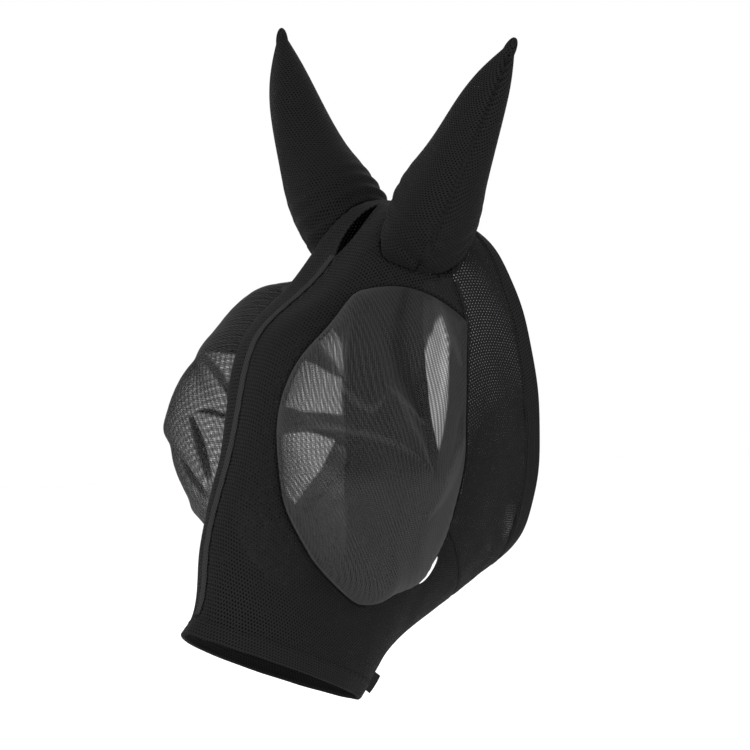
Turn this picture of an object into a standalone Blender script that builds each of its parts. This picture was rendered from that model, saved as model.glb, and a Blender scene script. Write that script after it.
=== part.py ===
"""Pull-on horse fly mask with ears: stretch air-mesh hood, domed gauze eye covers, turned hems.

Metres, +Z up. The horse looks along -Y and +X is its left side. The origin is the poll, on the
crown between the ears, where the mask hangs on the head.
"""

import math

import bmesh
import bpy
import numpy as np
from mathutils import Vector

# Driving dimensions, metres
HOOD_REACH = 0.2165  # poll to the front of the nose hem, forwards
HOOD_DROP = 0.4722  # poll to the chin, downwards
HOOD_HALF_WIDTH = 0.098  # centre to the widest point of the jowl
CLOTH = 0.0016  # air mesh
GAUZE = 0.0008  # eye cover
TAPE = 0.0008  # seam tape
ELASTIC = 0.0012  # elastic inside a hem
GAP = 0.0003  # between pieces that lie against each other
SEAM_GAP = 0.0009  # from a panel's edge to the middle of a seam
HEM_WIDTH = 0.020
ELASTIC_WIDTH = 0.013
TAPE_WIDTH = 0.009
TAPE_DEPTH = CLOTH + 0.0020  # tapes lie this far under the hood's outer face
SLOT_TAPE_IN, SLOT_TAPE_OUT = 0.0015, 0.0075  # edges of the slot's binding, out from its rim
EYE_RISE = 0.060  # height of the eye cover over the cheek, at its middle
EAR_HEIGHT = 0.238  # base to tip, along the ear
EAR_HALF_WIDTH = 0.046  # a little above the base
EAR_SPLAY = math.radians(35)  # lean outwards from upright
EAR_SET_BACK = 0.04  # its lean backwards for each unit of height
EAR_CLEARANCE = 0.0015  # between the ear's rim and the edge of its hole
SLOT_LENGTH = 0.076  # forelock slot
SLOT_HALF_WIDTH = 0.0105
LABEL_LENGTH = 0.020
LABEL_WIDTH = 0.009
LABEL = 0.0012
LABEL_EDGE = 0.0003  # bevel
LABEL_AT = 0.115  # station of the label on the jaw seam
MARK_FROM, MARK_TO = 0.885, 0.941  # stretch of the eye opening's front that the mark lies beside
MARK_OFF = 0.025  # share by which the mark stands off from the opening
MARK_WIDTH = 0.053  # share of the way from the opening to the eye's middle
MARK = 0.0004
MARK_END = 0.03  # share of the mark's length that its blunt ends leave out
FOLD_UP, FOLD_BACK = 0.4, 0.9  # share of a hem's profile before its fold; depth of the part turned back
SWELL_SHIFT, SWELL_POWER = 0.6, 1.8  # powers that place a rib's bow along it and round it off
PANEL_EASE = 1.5  # power that crowds a panel's rows towards its outer edge
EYE_TAPE_IN, EYE_TAPE_OUT = 0.965, 1.040  # edges of tapes, as shares of the way from a middle to a rim
EAR_TAPE_IN, EAR_TAPE_OUT = 1.05, 1.12
EAR_SEAM_FROM, EAR_SEAM_TO = 0.06, 0.86  # stretches that the seam tapes cover
FACE_TAPE_FROM, POLL_TAPE_TO = 0.045, 0.955
JAW_TAPE_FROM, JAW_TAPE_TO = 0.12, 0.88
LOWER_JOWL_SEAM = ((0.616, 0.69), (0.672, 0.935))  # (station, turn) at both ends of the jowl's tapes
UPPER_JOWL_SEAM = ((0.859, 0.335), (0.862, 0.305))
EAR_CUT, SLOT_CUT = 0.05, 0.03  # depths of the cutters that open the hood
CENTRE_CUT = 4 * (HOOD_DROP + HOOD_REACH)  # side of the block that trims the panels at the centre

# Centre-front line from the nose hem over the face and the poll to the neck hem, as
# (y / HOOD_REACH, z / HOOD_DROP), and the jaw line from the chin to the throat.
FACE_LINE = (
    (-1.000, -0.845), (-0.935, -0.813), (-0.882, -0.692), (-0.764, -0.499), (-0.702, -0.378),
    (-0.601, -0.253), (-0.465, -0.201), (-0.294, -0.143), (-0.219, -0.107), (-0.105, -0.046),
    (0.022, -0.002), (0.198, -0.006), (0.351, -0.044),
)
JAW_LINE = (
    (-0.105, -1.000), (-0.018, -0.946), (0.132, -0.877), (0.290, -0.833), (0.456, -0.785),
    (0.592, -0.744), (0.654, -0.722),
)
# Ribs join the two lines. Each station, from 0 at the nose to 1 at the neck, has its half width
# over HOOD_HALF_WIDTH, its roundness at the face and at the jaw, and its bow towards the neck.
WIDTH_AT = (0.0, 0.12, 0.30, 0.45, 0.60, 0.72, 0.86, 1.0)
WIDTH = (0.58, 0.61, 0.67, 0.80, 0.95, 1.00, 1.00, 0.94)
BOW = (-0.003, -0.002, 0.0, 0.0, 0.0, 0.0, 0.006, 0.021)
ROUND_AT = (0.0, 0.08, 0.20, 0.35, 0.50, 0.62, 0.75, 0.88, 1.0)
ROUND_FACE = (1.10, 0.85, 0.74, 0.67, 0.60, 0.50, 0.42, 0.48, 0.72)
ROUND_JAW = (1.2, 1.3, 1.4, 1.5, 1.5, 1.5, 1.4, 1.3, 1.15)

# Spokes run from the eye opening to the edges of a panel: (station, turn) at the eye, then at the
# edge. The turn along a rib is 0 at the face line and 1 at the jaw line.
FACE_SPOKES = (
    (0.856, 0.373, 0.885, 0.00), (0.783, 0.251, 0.80, 0.00), (0.711, 0.152, 0.715, 0.00),
    (0.666, 0.125, 0.66, 0.00), (0.600, 0.150, 0.59, 0.00), (0.532, 0.160, 0.51, 0.00),
    (0.460, 0.158, 0.42, 0.00), (0.393, 0.170, 0.31, 0.00), (0.335, 0.215, 0.16, 0.00),
    (0.285, 0.275, 0.00, 0.00), (0.250, 0.366, 0.00, 0.24), (0.232, 0.440, 0.00, 0.42),
    (0.233, 0.573, 0.00, 0.66), (0.285, 0.625, 0.00, 0.82), (0.359, 0.667, 0.00, 1.00),
    (0.454, 0.704, 0.30, 1.00), (0.553, 0.683, 0.50, 1.00), (0.610, 0.650, 0.68, 1.00),
)
JOWL_SPOKES = (
    (0.610, 0.650, 0.68, 1.00), (0.681, 0.595, 1.00, 1.00), (0.732, 0.555, 1.00, 0.78),
    (0.763, 0.514, 1.00, 0.62), (0.797, 0.470, 1.00, 0.46), (0.826, 0.426, 1.00, 0.28),
    (0.845, 0.395, 1.00, 0.00), (0.856, 0.373, 0.885, 0.00),
)
EYE_CENTRE = (0.545, 0.405)
SLOT_AT = 0.800  # station of the slot's middle
EAR_SEAM_AT = 0.16  # place of the seam round the ear's base outline
HEAD_MIDDLE = (0.0, -0.03, -0.22)  # a point well inside the hood
NOSE_END, NECK_END = 0.22, 0.14  # stretches of stations over which panels give way to the hems
OVERLAP = 0.0015  # how far a panel runs over the centre plane before it is trimmed
SPOKE_STEP = 0.050  # usual distance between spokes
# Outline of the ear's base on the hood.
EAR_BASE = (
    (0.765, 0.105), (0.782, 0.188), (0.825, 0.258), (0.875, 0.270), (0.920, 0.215),
    (0.936, 0.130), (0.912, 0.060), (0.862, 0.036), (0.805, 0.050),
)
# Radius up the ear over EAR_HALF_WIDTH, from the base to the tip.
EAR_TAPER_AT = (0.0, 0.16, 0.33, 0.58, 0.80, 0.93)
EAR_TAPER = (1.08, 0.96, 0.77, 0.57, 0.36, 0.17)
EAR_BROAD, EAR_DEEP = 1.12, 0.92  # the ear's two radii over the taper's
EAR_BLEND = 0.35  # share of the ear over which its base outline turns into an ellipse
EAR_BOW = (0.010, -0.010, 0.0)  # how far the middle of the ear stands off the line to its tip
EYE_RIM = 0.006  # share by which the cover's rim lies inside the opening
EYE_SQUARE, EYE_SHOULDER = 3.0, 0.7  # powers that flatten the cover's top and round its shoulder
EYE_LEAN = (2.33, 1.6)  # share the cover gains in height per unit of station and turn to the front


# The hood's surface
def smooth_curve(points, at, knots=None):
    """Natural cubic spline through the points, read at values from 0 to 1."""
    points = np.asarray(points, float)
    points = points.reshape(len(points), -1)
    if knots is None:
        steps = np.linalg.norm(np.diff(points, axis=0), axis=1)
        knots = np.concatenate([[0], np.cumsum(steps)]) / steps.sum()
    knots = np.asarray(knots, float)
    h = np.diff(knots)
    left = np.eye(len(knots))
    right = np.zeros_like(points)
    for i in range(1, len(knots) - 1):
        left[i, i - 1], left[i, i], left[i, i + 1] = h[i - 1], 2 * (h[i - 1] + h[i]), h[i]
        slopes = (points[i + 1] - points[i]) / h[i] - (points[i] - points[i - 1]) / h[i - 1]
        right[i] = 6 * slopes
    bend = np.linalg.solve(left, right)
    at = np.clip(np.asarray(at, float), knots[0], knots[-1])
    flat = at.ravel()
    k = np.clip(np.searchsorted(knots, flat, side="right") - 1, 0, len(knots) - 2)
    a, b, span = (knots[k + 1] - flat)[:, None], (flat - knots[k])[:, None], h[k][:, None]
    out = (bend[k] * a**3 + bend[k + 1] * b**3) / (6 * span)
    out += (points[k] / span - bend[k] * span / 6) * a
    out += (points[k + 1] / span - bend[k + 1] * span / 6) * b
    return out.reshape(at.shape + (points.shape[1],))


def hood(station, turn):
    """Point on the outer face of the hood. Turns outside 0 to 1 run on over the centre plane."""
    station, turn = np.broadcast_arrays(np.asarray(station, float), np.asarray(turn, float))
    size = np.array([HOOD_REACH, HOOD_DROP])
    face = smooth_curve(np.array(FACE_LINE) * size, station)
    jaw = smooth_curve(np.array(JAW_LINE) * size, station)
    width = smooth_curve(WIDTH, station, WIDTH_AT)[..., 0] * HOOD_HALF_WIDTH
    bow = smooth_curve(BOW, station, WIDTH_AT)[..., 0]
    round_face = smooth_curve(ROUND_FACE, station, ROUND_AT)[..., 0]
    round_jaw = smooth_curve(ROUND_JAW, station, ROUND_AT)[..., 0]
    inside = np.clip(turn, 0, 1)
    power = round_face * (1 - inside) + round_jaw * inside
    sine = np.sin(math.pi * turn)
    across = width * np.sign(sine) * np.abs(sine) ** power
    rib = jaw - face
    along = (1 - np.cos(math.pi * turn)) / 2
    length = np.linalg.norm(rib, axis=-1, keepdims=True)
    square = np.stack([-rib[..., 1], rib[..., 0]], -1) / length
    swell = np.clip(np.sin(math.pi * inside**SWELL_SHIFT), 0, 1) ** SWELL_POWER
    yz = face + rib * along[..., None] + square * (bow * swell)[..., None]
    return np.stack([across, yz[..., 0], yz[..., 1]], -1)


def hood_normal(station, turn):
    """Unit normal of the hood, pointing out."""
    step = 0.002
    station, turn = np.broadcast_arrays(np.asarray(station, float), np.asarray(turn, float))
    low, high = np.clip(station - step, 0, 1), np.clip(station + step, 0, 1)
    up = hood(high, turn) - hood(low, turn)
    round_ = hood(station, turn + step) - hood(station, turn - step)
    normal = np.cross(round_, up)
    return normal / np.linalg.norm(normal, axis=-1, keepdims=True)


def at_depth(station, turn, depth):
    return hood(station, turn) - hood_normal(station, turn) * np.asarray(depth)[..., None]


def hem_station(share, turn, width, at_neck):
    """Station a share of a hem's width in from the nose or the neck edge."""
    edge = 1.0 if at_neck else 0.0
    step = 0.02
    inner = edge - step if at_neck else edge + step
    speed = np.linalg.norm(hood(edge, turn) - hood(inner, turn), axis=-1) / step
    inset = share * width / speed
    return edge - inset if at_neck else inset


def between_hems(station, turn):
    """Draws the nose end and the neck end of a panel in to the seams of the hems."""
    nose = hem_station(1, turn, HEM_WIDTH + GAP, False)
    neck = 1 - hem_station(1, turn, HEM_WIDTH + 7 * GAP, True)
    near_nose = np.clip(1 - station / NOSE_END, 0, 1)
    near_neck = np.clip(1 - (1 - station) / NECK_END, 0, 1)
    return station + nose * near_nose - neck * near_neck


def turn_at(station, across, at_jaw=False):
    """Turn at which the hood is this far from the centre plane, near the face or the jaw line."""
    station, across = np.broadcast_arrays(np.asarray(station, float), np.asarray(across, float))
    width = smooth_curve(WIDTH, station, WIDTH_AT)[..., 0] * HOOD_HALF_WIDTH
    near, far = (ROUND_JAW, ROUND_FACE) if at_jaw else (ROUND_FACE, ROUND_JAW)
    near = smooth_curve(near, station, ROUND_AT)[..., 0]
    far = smooth_curve(far, station, ROUND_AT)[..., 0]
    turn = np.zeros_like(width)
    for _ in range(4):
        power = near * (1 - turn) + far * turn
        turn = np.arcsin((np.abs(across) / width) ** (1 / power)) / math.pi
    turn = np.sign(across) * turn
    return 1 - turn if at_jaw else turn


def eye_outline(spokes, place):
    """Points (station, turn) on one stretch of the eye opening, place running 0 to 1."""
    knots = np.linspace(0, 1, len(spokes))
    return smooth_curve(np.array(spokes)[:, :2], place, knots)


def edge_of_panel(spokes, place):
    """The panel's edge opposite, straight between the spokes' ends."""
    knots = np.linspace(0, 1, len(spokes))
    ends = np.array(spokes)[:, 2:]
    return np.stack([np.interp(place, knots, ends[:, 0]), np.interp(place, knots, ends[:, 1])], -1)


def whole_eye(place):
    """The closed eye opening: the cheek stretch, then the jowl stretch."""
    share = FACE_COLUMNS / (FACE_COLUMNS + JOWL_COLUMNS)
    front = eye_outline(FACE_SPOKES, place / share)
    rear = eye_outline(JOWL_SPOKES, (place - share) / (1 - share))
    return np.where((place < share)[..., None], front, rear)


def closed_curve(points, place):
    """Smooth closed curve through (station, turn) points."""
    points = np.array(points)
    extra = 3
    run = np.concatenate([points[-extra:], points, points[: extra + 1]])
    knots = (np.arange(len(run)) - extra) / len(points)
    return smooth_curve(run, np.mod(place, 1.0), knots)


# Building blocks
def material(name, colour, roughness, alpha=1.0):
    made = bpy.data.materials.new(name)
    made.use_nodes = True
    shader = made.node_tree.nodes["Principled BSDF"]
    shader.inputs["Base Color"].default_value = (*colour, 1.0)
    shader.inputs["Roughness"].default_value = roughness
    shader.inputs["Metallic"].default_value = 0.0
    shader.inputs["Alpha"].default_value = alpha
    return made


def link(obj, collection, finish=None):
    collection.objects.link(obj)
    if finish:
        obj.data.materials.append(finish)
    return obj


def faces_in(place, inside):
    """True where the surface's own front looks towards the point inside it."""
    across, up = np.arange(0.02, 1, 0.04), np.full(25, 0.2)
    here = place(across, up)
    right, raised = place(across + 0.01, up) - here, place(across, up + 0.01) - here
    return (np.cross(right, raised) * (here - np.array(inside))).sum() < 0


def sheet(name, place, columns, rows, thickness, finish, wrap=False, parent=None, inside=HEAD_MIDDLE):
    """A grid laid on a surface and given its thickness inwards.

    place takes two arrays, across and up, each from 0 to 1, and gives points in metres.
    """
    grid = bmesh.new()
    bmesh.ops.create_grid(grid, x_segments=columns, y_segments=rows, size=0.5)
    flat = np.array([vert.co for vert in grid.verts]) + 0.5
    for vert, point in zip(grid.verts, place(flat[:, 0], flat[:, 1])):
        vert.co = Vector(point)
    if wrap:
        bmesh.ops.remove_doubles(grid, verts=grid.verts, dist=1e-6)
    if faces_in(place, inside):
        bmesh.ops.reverse_faces(grid, faces=grid.faces)
    mesh = bpy.data.meshes.new(name)
    grid.to_mesh(mesh)
    grid.free()
    mesh.shade_smooth()
    made = link(bpy.data.objects.new(name, mesh), parts, finish)
    wall = made.modifiers.new("cloth", "SOLIDIFY")
    wall.thickness = thickness
    wall.offset = -1.0
    wall.use_even_offset = True
    if parent:
        settle(made, parent)
    return made


def settle(obj, parent):
    """Hangs an object on an empty, with its origin there and its shape where it was."""
    shift = parent.location
    for vert in obj.data.vertices:
        vert.co -= shift
    obj.parent = parent


def prism(name, loop, direction, depth):
    """A cutter: a loop of points carried both ways along a direction."""
    outline = bmesh.new()
    push = Vector(direction).normalized() * depth
    low = [outline.verts.new(Vector(p) - push) for p in loop]
    face = outline.faces.new(low)
    raised = bmesh.ops.extrude_face_region(outline, geom=[face])["geom"]
    moved = [item for item in raised if isinstance(item, bmesh.types.BMVert)]
    bmesh.ops.translate(outline, verts=moved, vec=push * 2)
    bmesh.ops.triangulate(outline, faces=outline.faces)
    bmesh.ops.recalc_face_normals(outline, faces=outline.faces)
    mesh = bpy.data.meshes.new(name)
    outline.to_mesh(mesh)
    outline.free()
    return hide(bpy.data.objects.new(name, mesh))


def hide(cutter):
    link(cutter, cutters)
    cutter.hide_render = True
    cutter.display_type = "WIRE"
    return cutter


def cut(obj, cutter):
    opening = obj.modifiers.new(cutter.name, "BOOLEAN")
    opening.operation = "DIFFERENCE"
    opening.solver = "EXACT"
    opening.object = cutter


def mirrored(obj, name, parent=None):
    """The other side's piece: this one's finished shape, turned over the centre plane."""
    bpy.context.view_layer.update()
    graph = bpy.context.evaluated_depsgraph_get()
    mesh = bpy.data.meshes.new_from_object(obj.evaluated_get(graph))
    mesh.name = name
    for vert in mesh.vertices:
        vert.co.x = -vert.co.x
    mesh.flip_normals()
    other = bpy.data.objects.new(name, mesh)
    parts.objects.link(other)
    other.parent = parent
    return other


def both_sides(name, build):
    """Builds the left piece and its mirror image."""
    left = build("left_" + name)
    return left, mirrored(left, "right_" + name)


# Panels
def panel(name, spokes, columns):
    """Air mesh between the eye opening and the seams, trimmed at the centre plane."""
    inset = SEAM_GAP / SPOKE_STEP / (len(spokes) - 1)

    def place(across, up):
        across = inset + across * (1 - 2 * inset)
        eye = eye_outline(spokes, across)
        edge = edge_of_panel(spokes, across)
        at_face, at_jaw = edge[..., 1] <= 0, edge[..., 1] >= 1
        edge[..., 1] = np.where(at_face, turn_at(edge[..., 0], -OVERLAP), edge[..., 1])
        edge[..., 1] = np.where(at_jaw, turn_at(edge[..., 0], -OVERLAP, True), edge[..., 1])
        ease = 1 - (1 - up) ** PANEL_EASE
        spot = eye + (edge - eye) * ease[..., None]
        return hood(between_hems(spot[..., 0], spot[..., 1]), spot[..., 1])

    made = sheet(name, place, columns, PANEL_ROWS, CLOTH, mesh_black)
    cut(made, centre_cutter)
    cut(made, ear_cutter)
    cut(made, slot_cutter)
    return made


def eye_cover(name):
    """Gauze dome over the eye: the hood's surface raised towards the middle of the opening."""
    def place(across, up):
        rim_point = whole_eye(across)
        centre = np.array(EYE_CENTRE)
        reach = (1 - EYE_RIM) * up
        spot = centre + (rim_point - centre) * reach[..., None]
        lean = 1 + (centre - spot) @ np.array(EYE_LEAN)
        rise = EYE_RISE * lean * (1 - up**EYE_SQUARE) ** EYE_SHOULDER
        return at_depth(spot[..., 0], spot[..., 1], -rise)

    return sheet(name, place, EYE_COLUMNS, 6, GAUZE, gauze_black, wrap=True)


def eye_binding(name):
    """Tape behind the seam between cover and panels, all round the opening."""

    def place(across, up):
        rim_point = whole_eye(across)
        centre = np.array(EYE_CENTRE)
        away = rim_point - centre
        reach = EYE_TAPE_IN + (EYE_TAPE_OUT - EYE_TAPE_IN) * up
        spot = centre + away * reach[..., None]
        return at_depth(spot[..., 0], spot[..., 1], TAPE_DEPTH)

    return sheet(name, place, EYE_COLUMNS, 1, TAPE, tape_black, wrap=True)


# Ears
def ear_frame():
    """Centre of the left ear's base, its direction, and the two directions across it."""
    loop = hood(*closed_curve(EAR_BASE, np.arange(72) / 72).T)
    centre = loop.mean(axis=0)
    up = np.array([math.sin(EAR_SPLAY), EAR_SET_BACK, math.cos(EAR_SPLAY)])
    up /= np.linalg.norm(up)
    side = np.array([1.0, 0, 0]) - up[0] * up
    side /= np.linalg.norm(side)
    return centre, up, side, np.cross(up, side)


def ear_surface(across, up, depth=0.0):
    """The ear's outer face: the base outline drawn up into a narrowing, slightly bowed cone."""
    centre, axis, side, fore = ear_frame()
    base = hood(*np.moveaxis(closed_curve(EAR_BASE, across), -1, 0))
    from_centre = base - centre
    angle = np.arctan2(from_centre @ fore, from_centre @ side)
    taper = smooth_curve(EAR_TAPER, np.minimum(up, EAR_TAPER_AT[-1]), EAR_TAPER_AT)[..., 0]
    end = np.clip((up - EAR_TAPER_AT[-1]) / (1 - EAR_TAPER_AT[-1]), 0, 1)
    radius = EAR_HALF_WIDTH * taper * np.sqrt(1 - end**2) - depth * (end < 1)
    round_ = (np.cos(angle) * radius * EAR_BROAD)[..., None] * side
    round_ = round_ + (np.sin(angle) * radius * EAR_DEEP)[..., None] * fore
    hold = (np.clip(1 - up / EAR_BLEND, 0, 1) ** 1.5)[..., None]
    bowed = np.sin(math.pi * up)[..., None] * np.array(EAR_BOW)
    spine = centre + up[..., None] * EAR_HEIGHT * axis + bowed
    inward = from_centre * (1 - depth / np.linalg.norm(from_centre, axis=-1, keepdims=True))
    return spine + hold * inward + (1 - hold) * round_


def ear(name):
    def place(across, up):
        return ear_surface(across, up)

    inside = ear_frame()[0] + ear_frame()[1] * EAR_HEIGHT * 0.2
    return sheet(name, place, 24, 10, CLOTH, mesh_black, True, left_ear_pivot, inside)


def ear_seam(name):
    """Tape inside the ear behind the seam down its outer side."""
    half = TAPE_WIDTH / 2 / EAR_HALF_WIDTH / (2 * math.pi)

    def place(across, up):
        around = EAR_SEAM_AT + half * (2 * across - 1)
        return ear_surface(around, EAR_SEAM_FROM + (EAR_SEAM_TO - EAR_SEAM_FROM) * up, TAPE_DEPTH)

    inside = ear_frame()[0] + ear_frame()[1] * EAR_HEIGHT * 0.2
    return sheet(name, place, 2, 14, TAPE, tape_black, False, left_ear_pivot, inside)


def ear_binding(name):
    """Tape inside the hood round the hole that the ear grows out of."""
    middle = np.array(EAR_BASE).mean(axis=0)

    def place(across, up):
        rim = closed_curve(EAR_BASE, across)
        reach = EAR_TAPE_IN + (EAR_TAPE_OUT - EAR_TAPE_IN) * up
        spot = middle + (rim - middle) * reach[..., None]
        return at_depth(spot[..., 0], spot[..., 1], TAPE_DEPTH + TAPE + 2 * GAP)

    return sheet(name, place, 32, 1, TAPE, tape_black, wrap=True)


# Hems
def one_side(across):
    """Turn on either side for a place round the whole hood, 0 to 1 from the face line."""
    return 1 - np.abs(1 - 2 * np.mod(across, 1.0))


def ring_point(station, across, depth):
    point = at_depth(station, one_side(across), depth)
    point[..., 0] *= np.where(np.mod(across, 1.0) <= 0.5, 1, -1)
    return point


def hem(name, at_neck):
    """A turned hem: the cloth runs to the edge, folds square and comes back inside."""
    depth = 2 * CLOTH + ELASTIC + 6 * GAP

    def place(across, up):
        out = np.clip(up / FOLD_UP, 0, 1)
        back = np.clip((up - 1 + FOLD_UP) / FOLD_UP, 0, 1)
        station = hem_station(1 - out + FOLD_BACK * back, one_side(across), HEM_WIDTH, at_neck)
        return ring_point(station, across, depth * np.clip((up - FOLD_UP) / (1 - 2 * FOLD_UP), 0, 1))

    return sheet(name, place, HEM_COLUMNS, 5, CLOTH, mesh_black, wrap=True)


def hem_elastic(name, at_neck):
    low = (CLOTH + 3 * GAP) / HEM_WIDTH

    def place(across, up):
        share = low + up * ELASTIC_WIDTH / HEM_WIDTH
        station = hem_station(share, one_side(across), HEM_WIDTH, at_neck)
        return ring_point(station, across, CLOTH + 3 * GAP)

    return sheet(name, place, HEM_COLUMNS, 1, ELASTIC, tape_black, wrap=True)


# Seam tapes, slot, label and mark
def seam_tape(name, start, end, steps):
    """Tape behind a seam that runs between two (station, turn) points."""
    start, end = np.array(start), np.array(end)
    along = hood(*end) - hood(*start)

    def place(across, up):
        spot = start + (end - start) * up[..., None]
        middle = at_depth(spot[..., 0], spot[..., 1], TAPE_DEPTH)
        side = np.cross(along, hood_normal(spot[..., 0], spot[..., 1]))
        side /= np.linalg.norm(side, axis=-1, keepdims=True)
        return middle + side * ((across - 0.5) * TAPE_WIDTH)[..., None]

    return sheet(name, place, 2, steps, TAPE, tape_black)


def centre_tape(name, low, high, steps, at_jaw=False):
    """Tape across the centre plane behind a centre seam."""

    def place(across, up):
        station = low + (high - low) * up
        turn = turn_at(station, (across - 0.5) * TAPE_WIDTH, at_jaw)
        return at_depth(station, turn, TAPE_DEPTH)

    return sheet(name, place, 4, steps, TAPE, tape_black)


def slot_place(angle, margin):
    """(station, turn) round the forelock slot, a margin out from its edge."""
    station = SLOT_AT + (SLOT_LENGTH / 2 + margin) / FACE_LENGTH * np.cos(angle)
    return station, turn_at(station, (SLOT_HALF_WIDTH + margin) * np.sin(angle))


def slot_binding(name):
    """Tape inside the hood round the forelock slot."""

    def place(across, up):
        margin = SLOT_TAPE_IN + (SLOT_TAPE_OUT - SLOT_TAPE_IN) * up
        return at_depth(*slot_place(across * 2 * math.pi, margin), TAPE_DEPTH)

    return sheet(name, place, 28, 1, TAPE, tape_black, wrap=True)


def jaw_label(name):
    """Folded woven flag caught in the jaw seam, standing out in the centre plane."""
    here, ahead = hood(LABEL_AT, 1.0), hood(LABEL_AT + 0.02, 1.0)
    along = Vector(ahead - here).normalized()
    out = Vector(hood_normal(LABEL_AT, 1.0))
    out = (out - along * out.dot(along)).normalized()
    middle = Vector(here) + out * (LABEL_WIDTH / 2 + 4 * GAP)
    flag = bmesh.new()
    bmesh.ops.create_cube(flag, size=1.0)
    bmesh.ops.scale(flag, verts=flag.verts, vec=(LABEL, LABEL_LENGTH, LABEL_WIDTH))
    mesh = bpy.data.meshes.new(name)
    flag.to_mesh(mesh)
    flag.free()
    made = link(bpy.data.objects.new(name, mesh), parts, label_black)
    made.location = middle
    made.rotation_euler = (math.atan2(along.z, along.y), 0, 0)
    edge = made.modifiers.new("edges", "BEVEL")
    edge.width = LABEL_EDGE
    edge.segments = 1
    return made


def printed_mark(name):
    """Plain tapered strip printed on the cheek beside the eye's lower corner."""
    def place(across, up):
        centre = np.array(EYE_CENTRE)
        rim = eye_outline(FACE_SPOKES, MARK_FROM + (MARK_TO - MARK_FROM) * across)
        width = MARK_WIDTH * np.sin(math.pi * np.clip(across, MARK_END, 1 - MARK_END)) ** 0.5
        spot = centre + (rim - centre) * (1 + MARK_OFF + width * up)[..., None]
        return at_depth(spot[..., 0], spot[..., 1], -MARK - GAP)

    return sheet(name, place, 10, 1, MARK, mark_white)


# The mask
for old in list(bpy.data.objects):
    bpy.data.objects.remove(old, do_unlink=True)

parts = bpy.data.collections.new("fly_mask")
cutters = bpy.data.collections.new("fly_mask_cutters")
bpy.context.scene.collection.children.link(parts)
bpy.context.scene.collection.children.link(cutters)

mesh_black = material("air_mesh_black", (0.012, 0.012, 0.013), 0.85)
gauze_black = material("gauze_black", (0.020, 0.020, 0.022), 0.55, 0.6)
tape_black = material("tape_black", (0.010, 0.010, 0.010), 0.8)
label_black = material("label_black", (0.020, 0.020, 0.022), 0.6)
mark_white = material("mark_white", (0.85, 0.85, 0.85), 0.5)

FACE_LENGTH = np.linalg.norm(np.diff(hood(np.linspace(0, 1, 60), 0.0), axis=0), axis=1).sum()
HEM_COLUMNS = 36
PANEL_ROWS = 8
FACE_COLUMNS = 2 * (len(FACE_SPOKES) - 1)
JOWL_COLUMNS = 3 * (len(JOWL_SPOKES) - 1)
EYE_COLUMNS = FACE_COLUMNS + JOWL_COLUMNS

ear_centre, ear_axis, ear_side, ear_fore = ear_frame()
left_ear_pivot = bpy.data.objects.new("left_ear_pivot", None)
left_ear_pivot.location = ear_centre
right_ear_pivot = bpy.data.objects.new("right_ear_pivot", None)
right_ear_pivot.location = (-ear_centre[0], ear_centre[1], ear_centre[2])
for pivot in (left_ear_pivot, right_ear_pivot):
    parts.objects.link(pivot)

cube = bmesh.new()
bmesh.ops.create_cube(cube, size=CENTRE_CUT)
cube_mesh = bpy.data.meshes.new("centre_cutter")
cube.to_mesh(cube_mesh)
cube.free()
centre_cutter = hide(bpy.data.objects.new("centre_cutter", cube_mesh))
centre_cutter.location = ((GAP - CENTRE_CUT) / 2, 0, 0)

base_middle = np.array(EAR_BASE).mean(axis=0)
base_rim = closed_curve(EAR_BASE, np.arange(64) / 64)
let_out = 1 + EAR_CLEARANCE / EAR_HALF_WIDTH
hole = base_middle + (base_rim - base_middle) * let_out
ear_cutter = prism("ear_cutter", hood(*hole.T), hood_normal(*base_middle), EAR_CUT)
slot_edge = hood(*slot_place(np.arange(32) / 32 * 2 * math.pi, 0.0))
slot_cutter = prism("slot_cutter", slot_edge, hood_normal(SLOT_AT, 0.0), SLOT_CUT)

both_sides("face_panel", lambda name: panel(name, FACE_SPOKES, FACE_COLUMNS))
both_sides("jowl_panel", lambda name: panel(name, JOWL_SPOKES, JOWL_COLUMNS))
both_sides("eye_cover", eye_cover)
both_sides("eye_binding", eye_binding)
both_sides("ear_binding", ear_binding)
for build, piece in ((ear, "ear"), (ear_seam, "ear_seam_tape")):
    mirrored(build("left_" + piece), "right_" + piece, right_ear_pivot)
both_sides("lower_jowl_tape", lambda name: seam_tape(name, *LOWER_JOWL_SEAM, 6))
both_sides("upper_jowl_tape", lambda name: seam_tape(name, *UPPER_JOWL_SEAM, 2))
hem("nose_hem", False)
hem_elastic("nose_elastic", False)
hem("neck_hem", True)
hem_elastic("neck_elastic", True)
slot_reach = (SLOT_LENGTH / 2 + SLOT_TAPE_OUT + SLOT_TAPE_IN) / FACE_LENGTH
centre_tape("face_seam_tape", FACE_TAPE_FROM, SLOT_AT - slot_reach, 20)
centre_tape("poll_seam_tape", SLOT_AT + slot_reach, POLL_TAPE_TO, 3)
centre_tape("jaw_seam_tape", JAW_TAPE_FROM, JAW_TAPE_TO, 12, at_jaw=True)
slot_binding("forelock_slot_binding")
jaw_label("jaw_label")
printed_mark("printed_mark")
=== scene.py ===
import math

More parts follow.
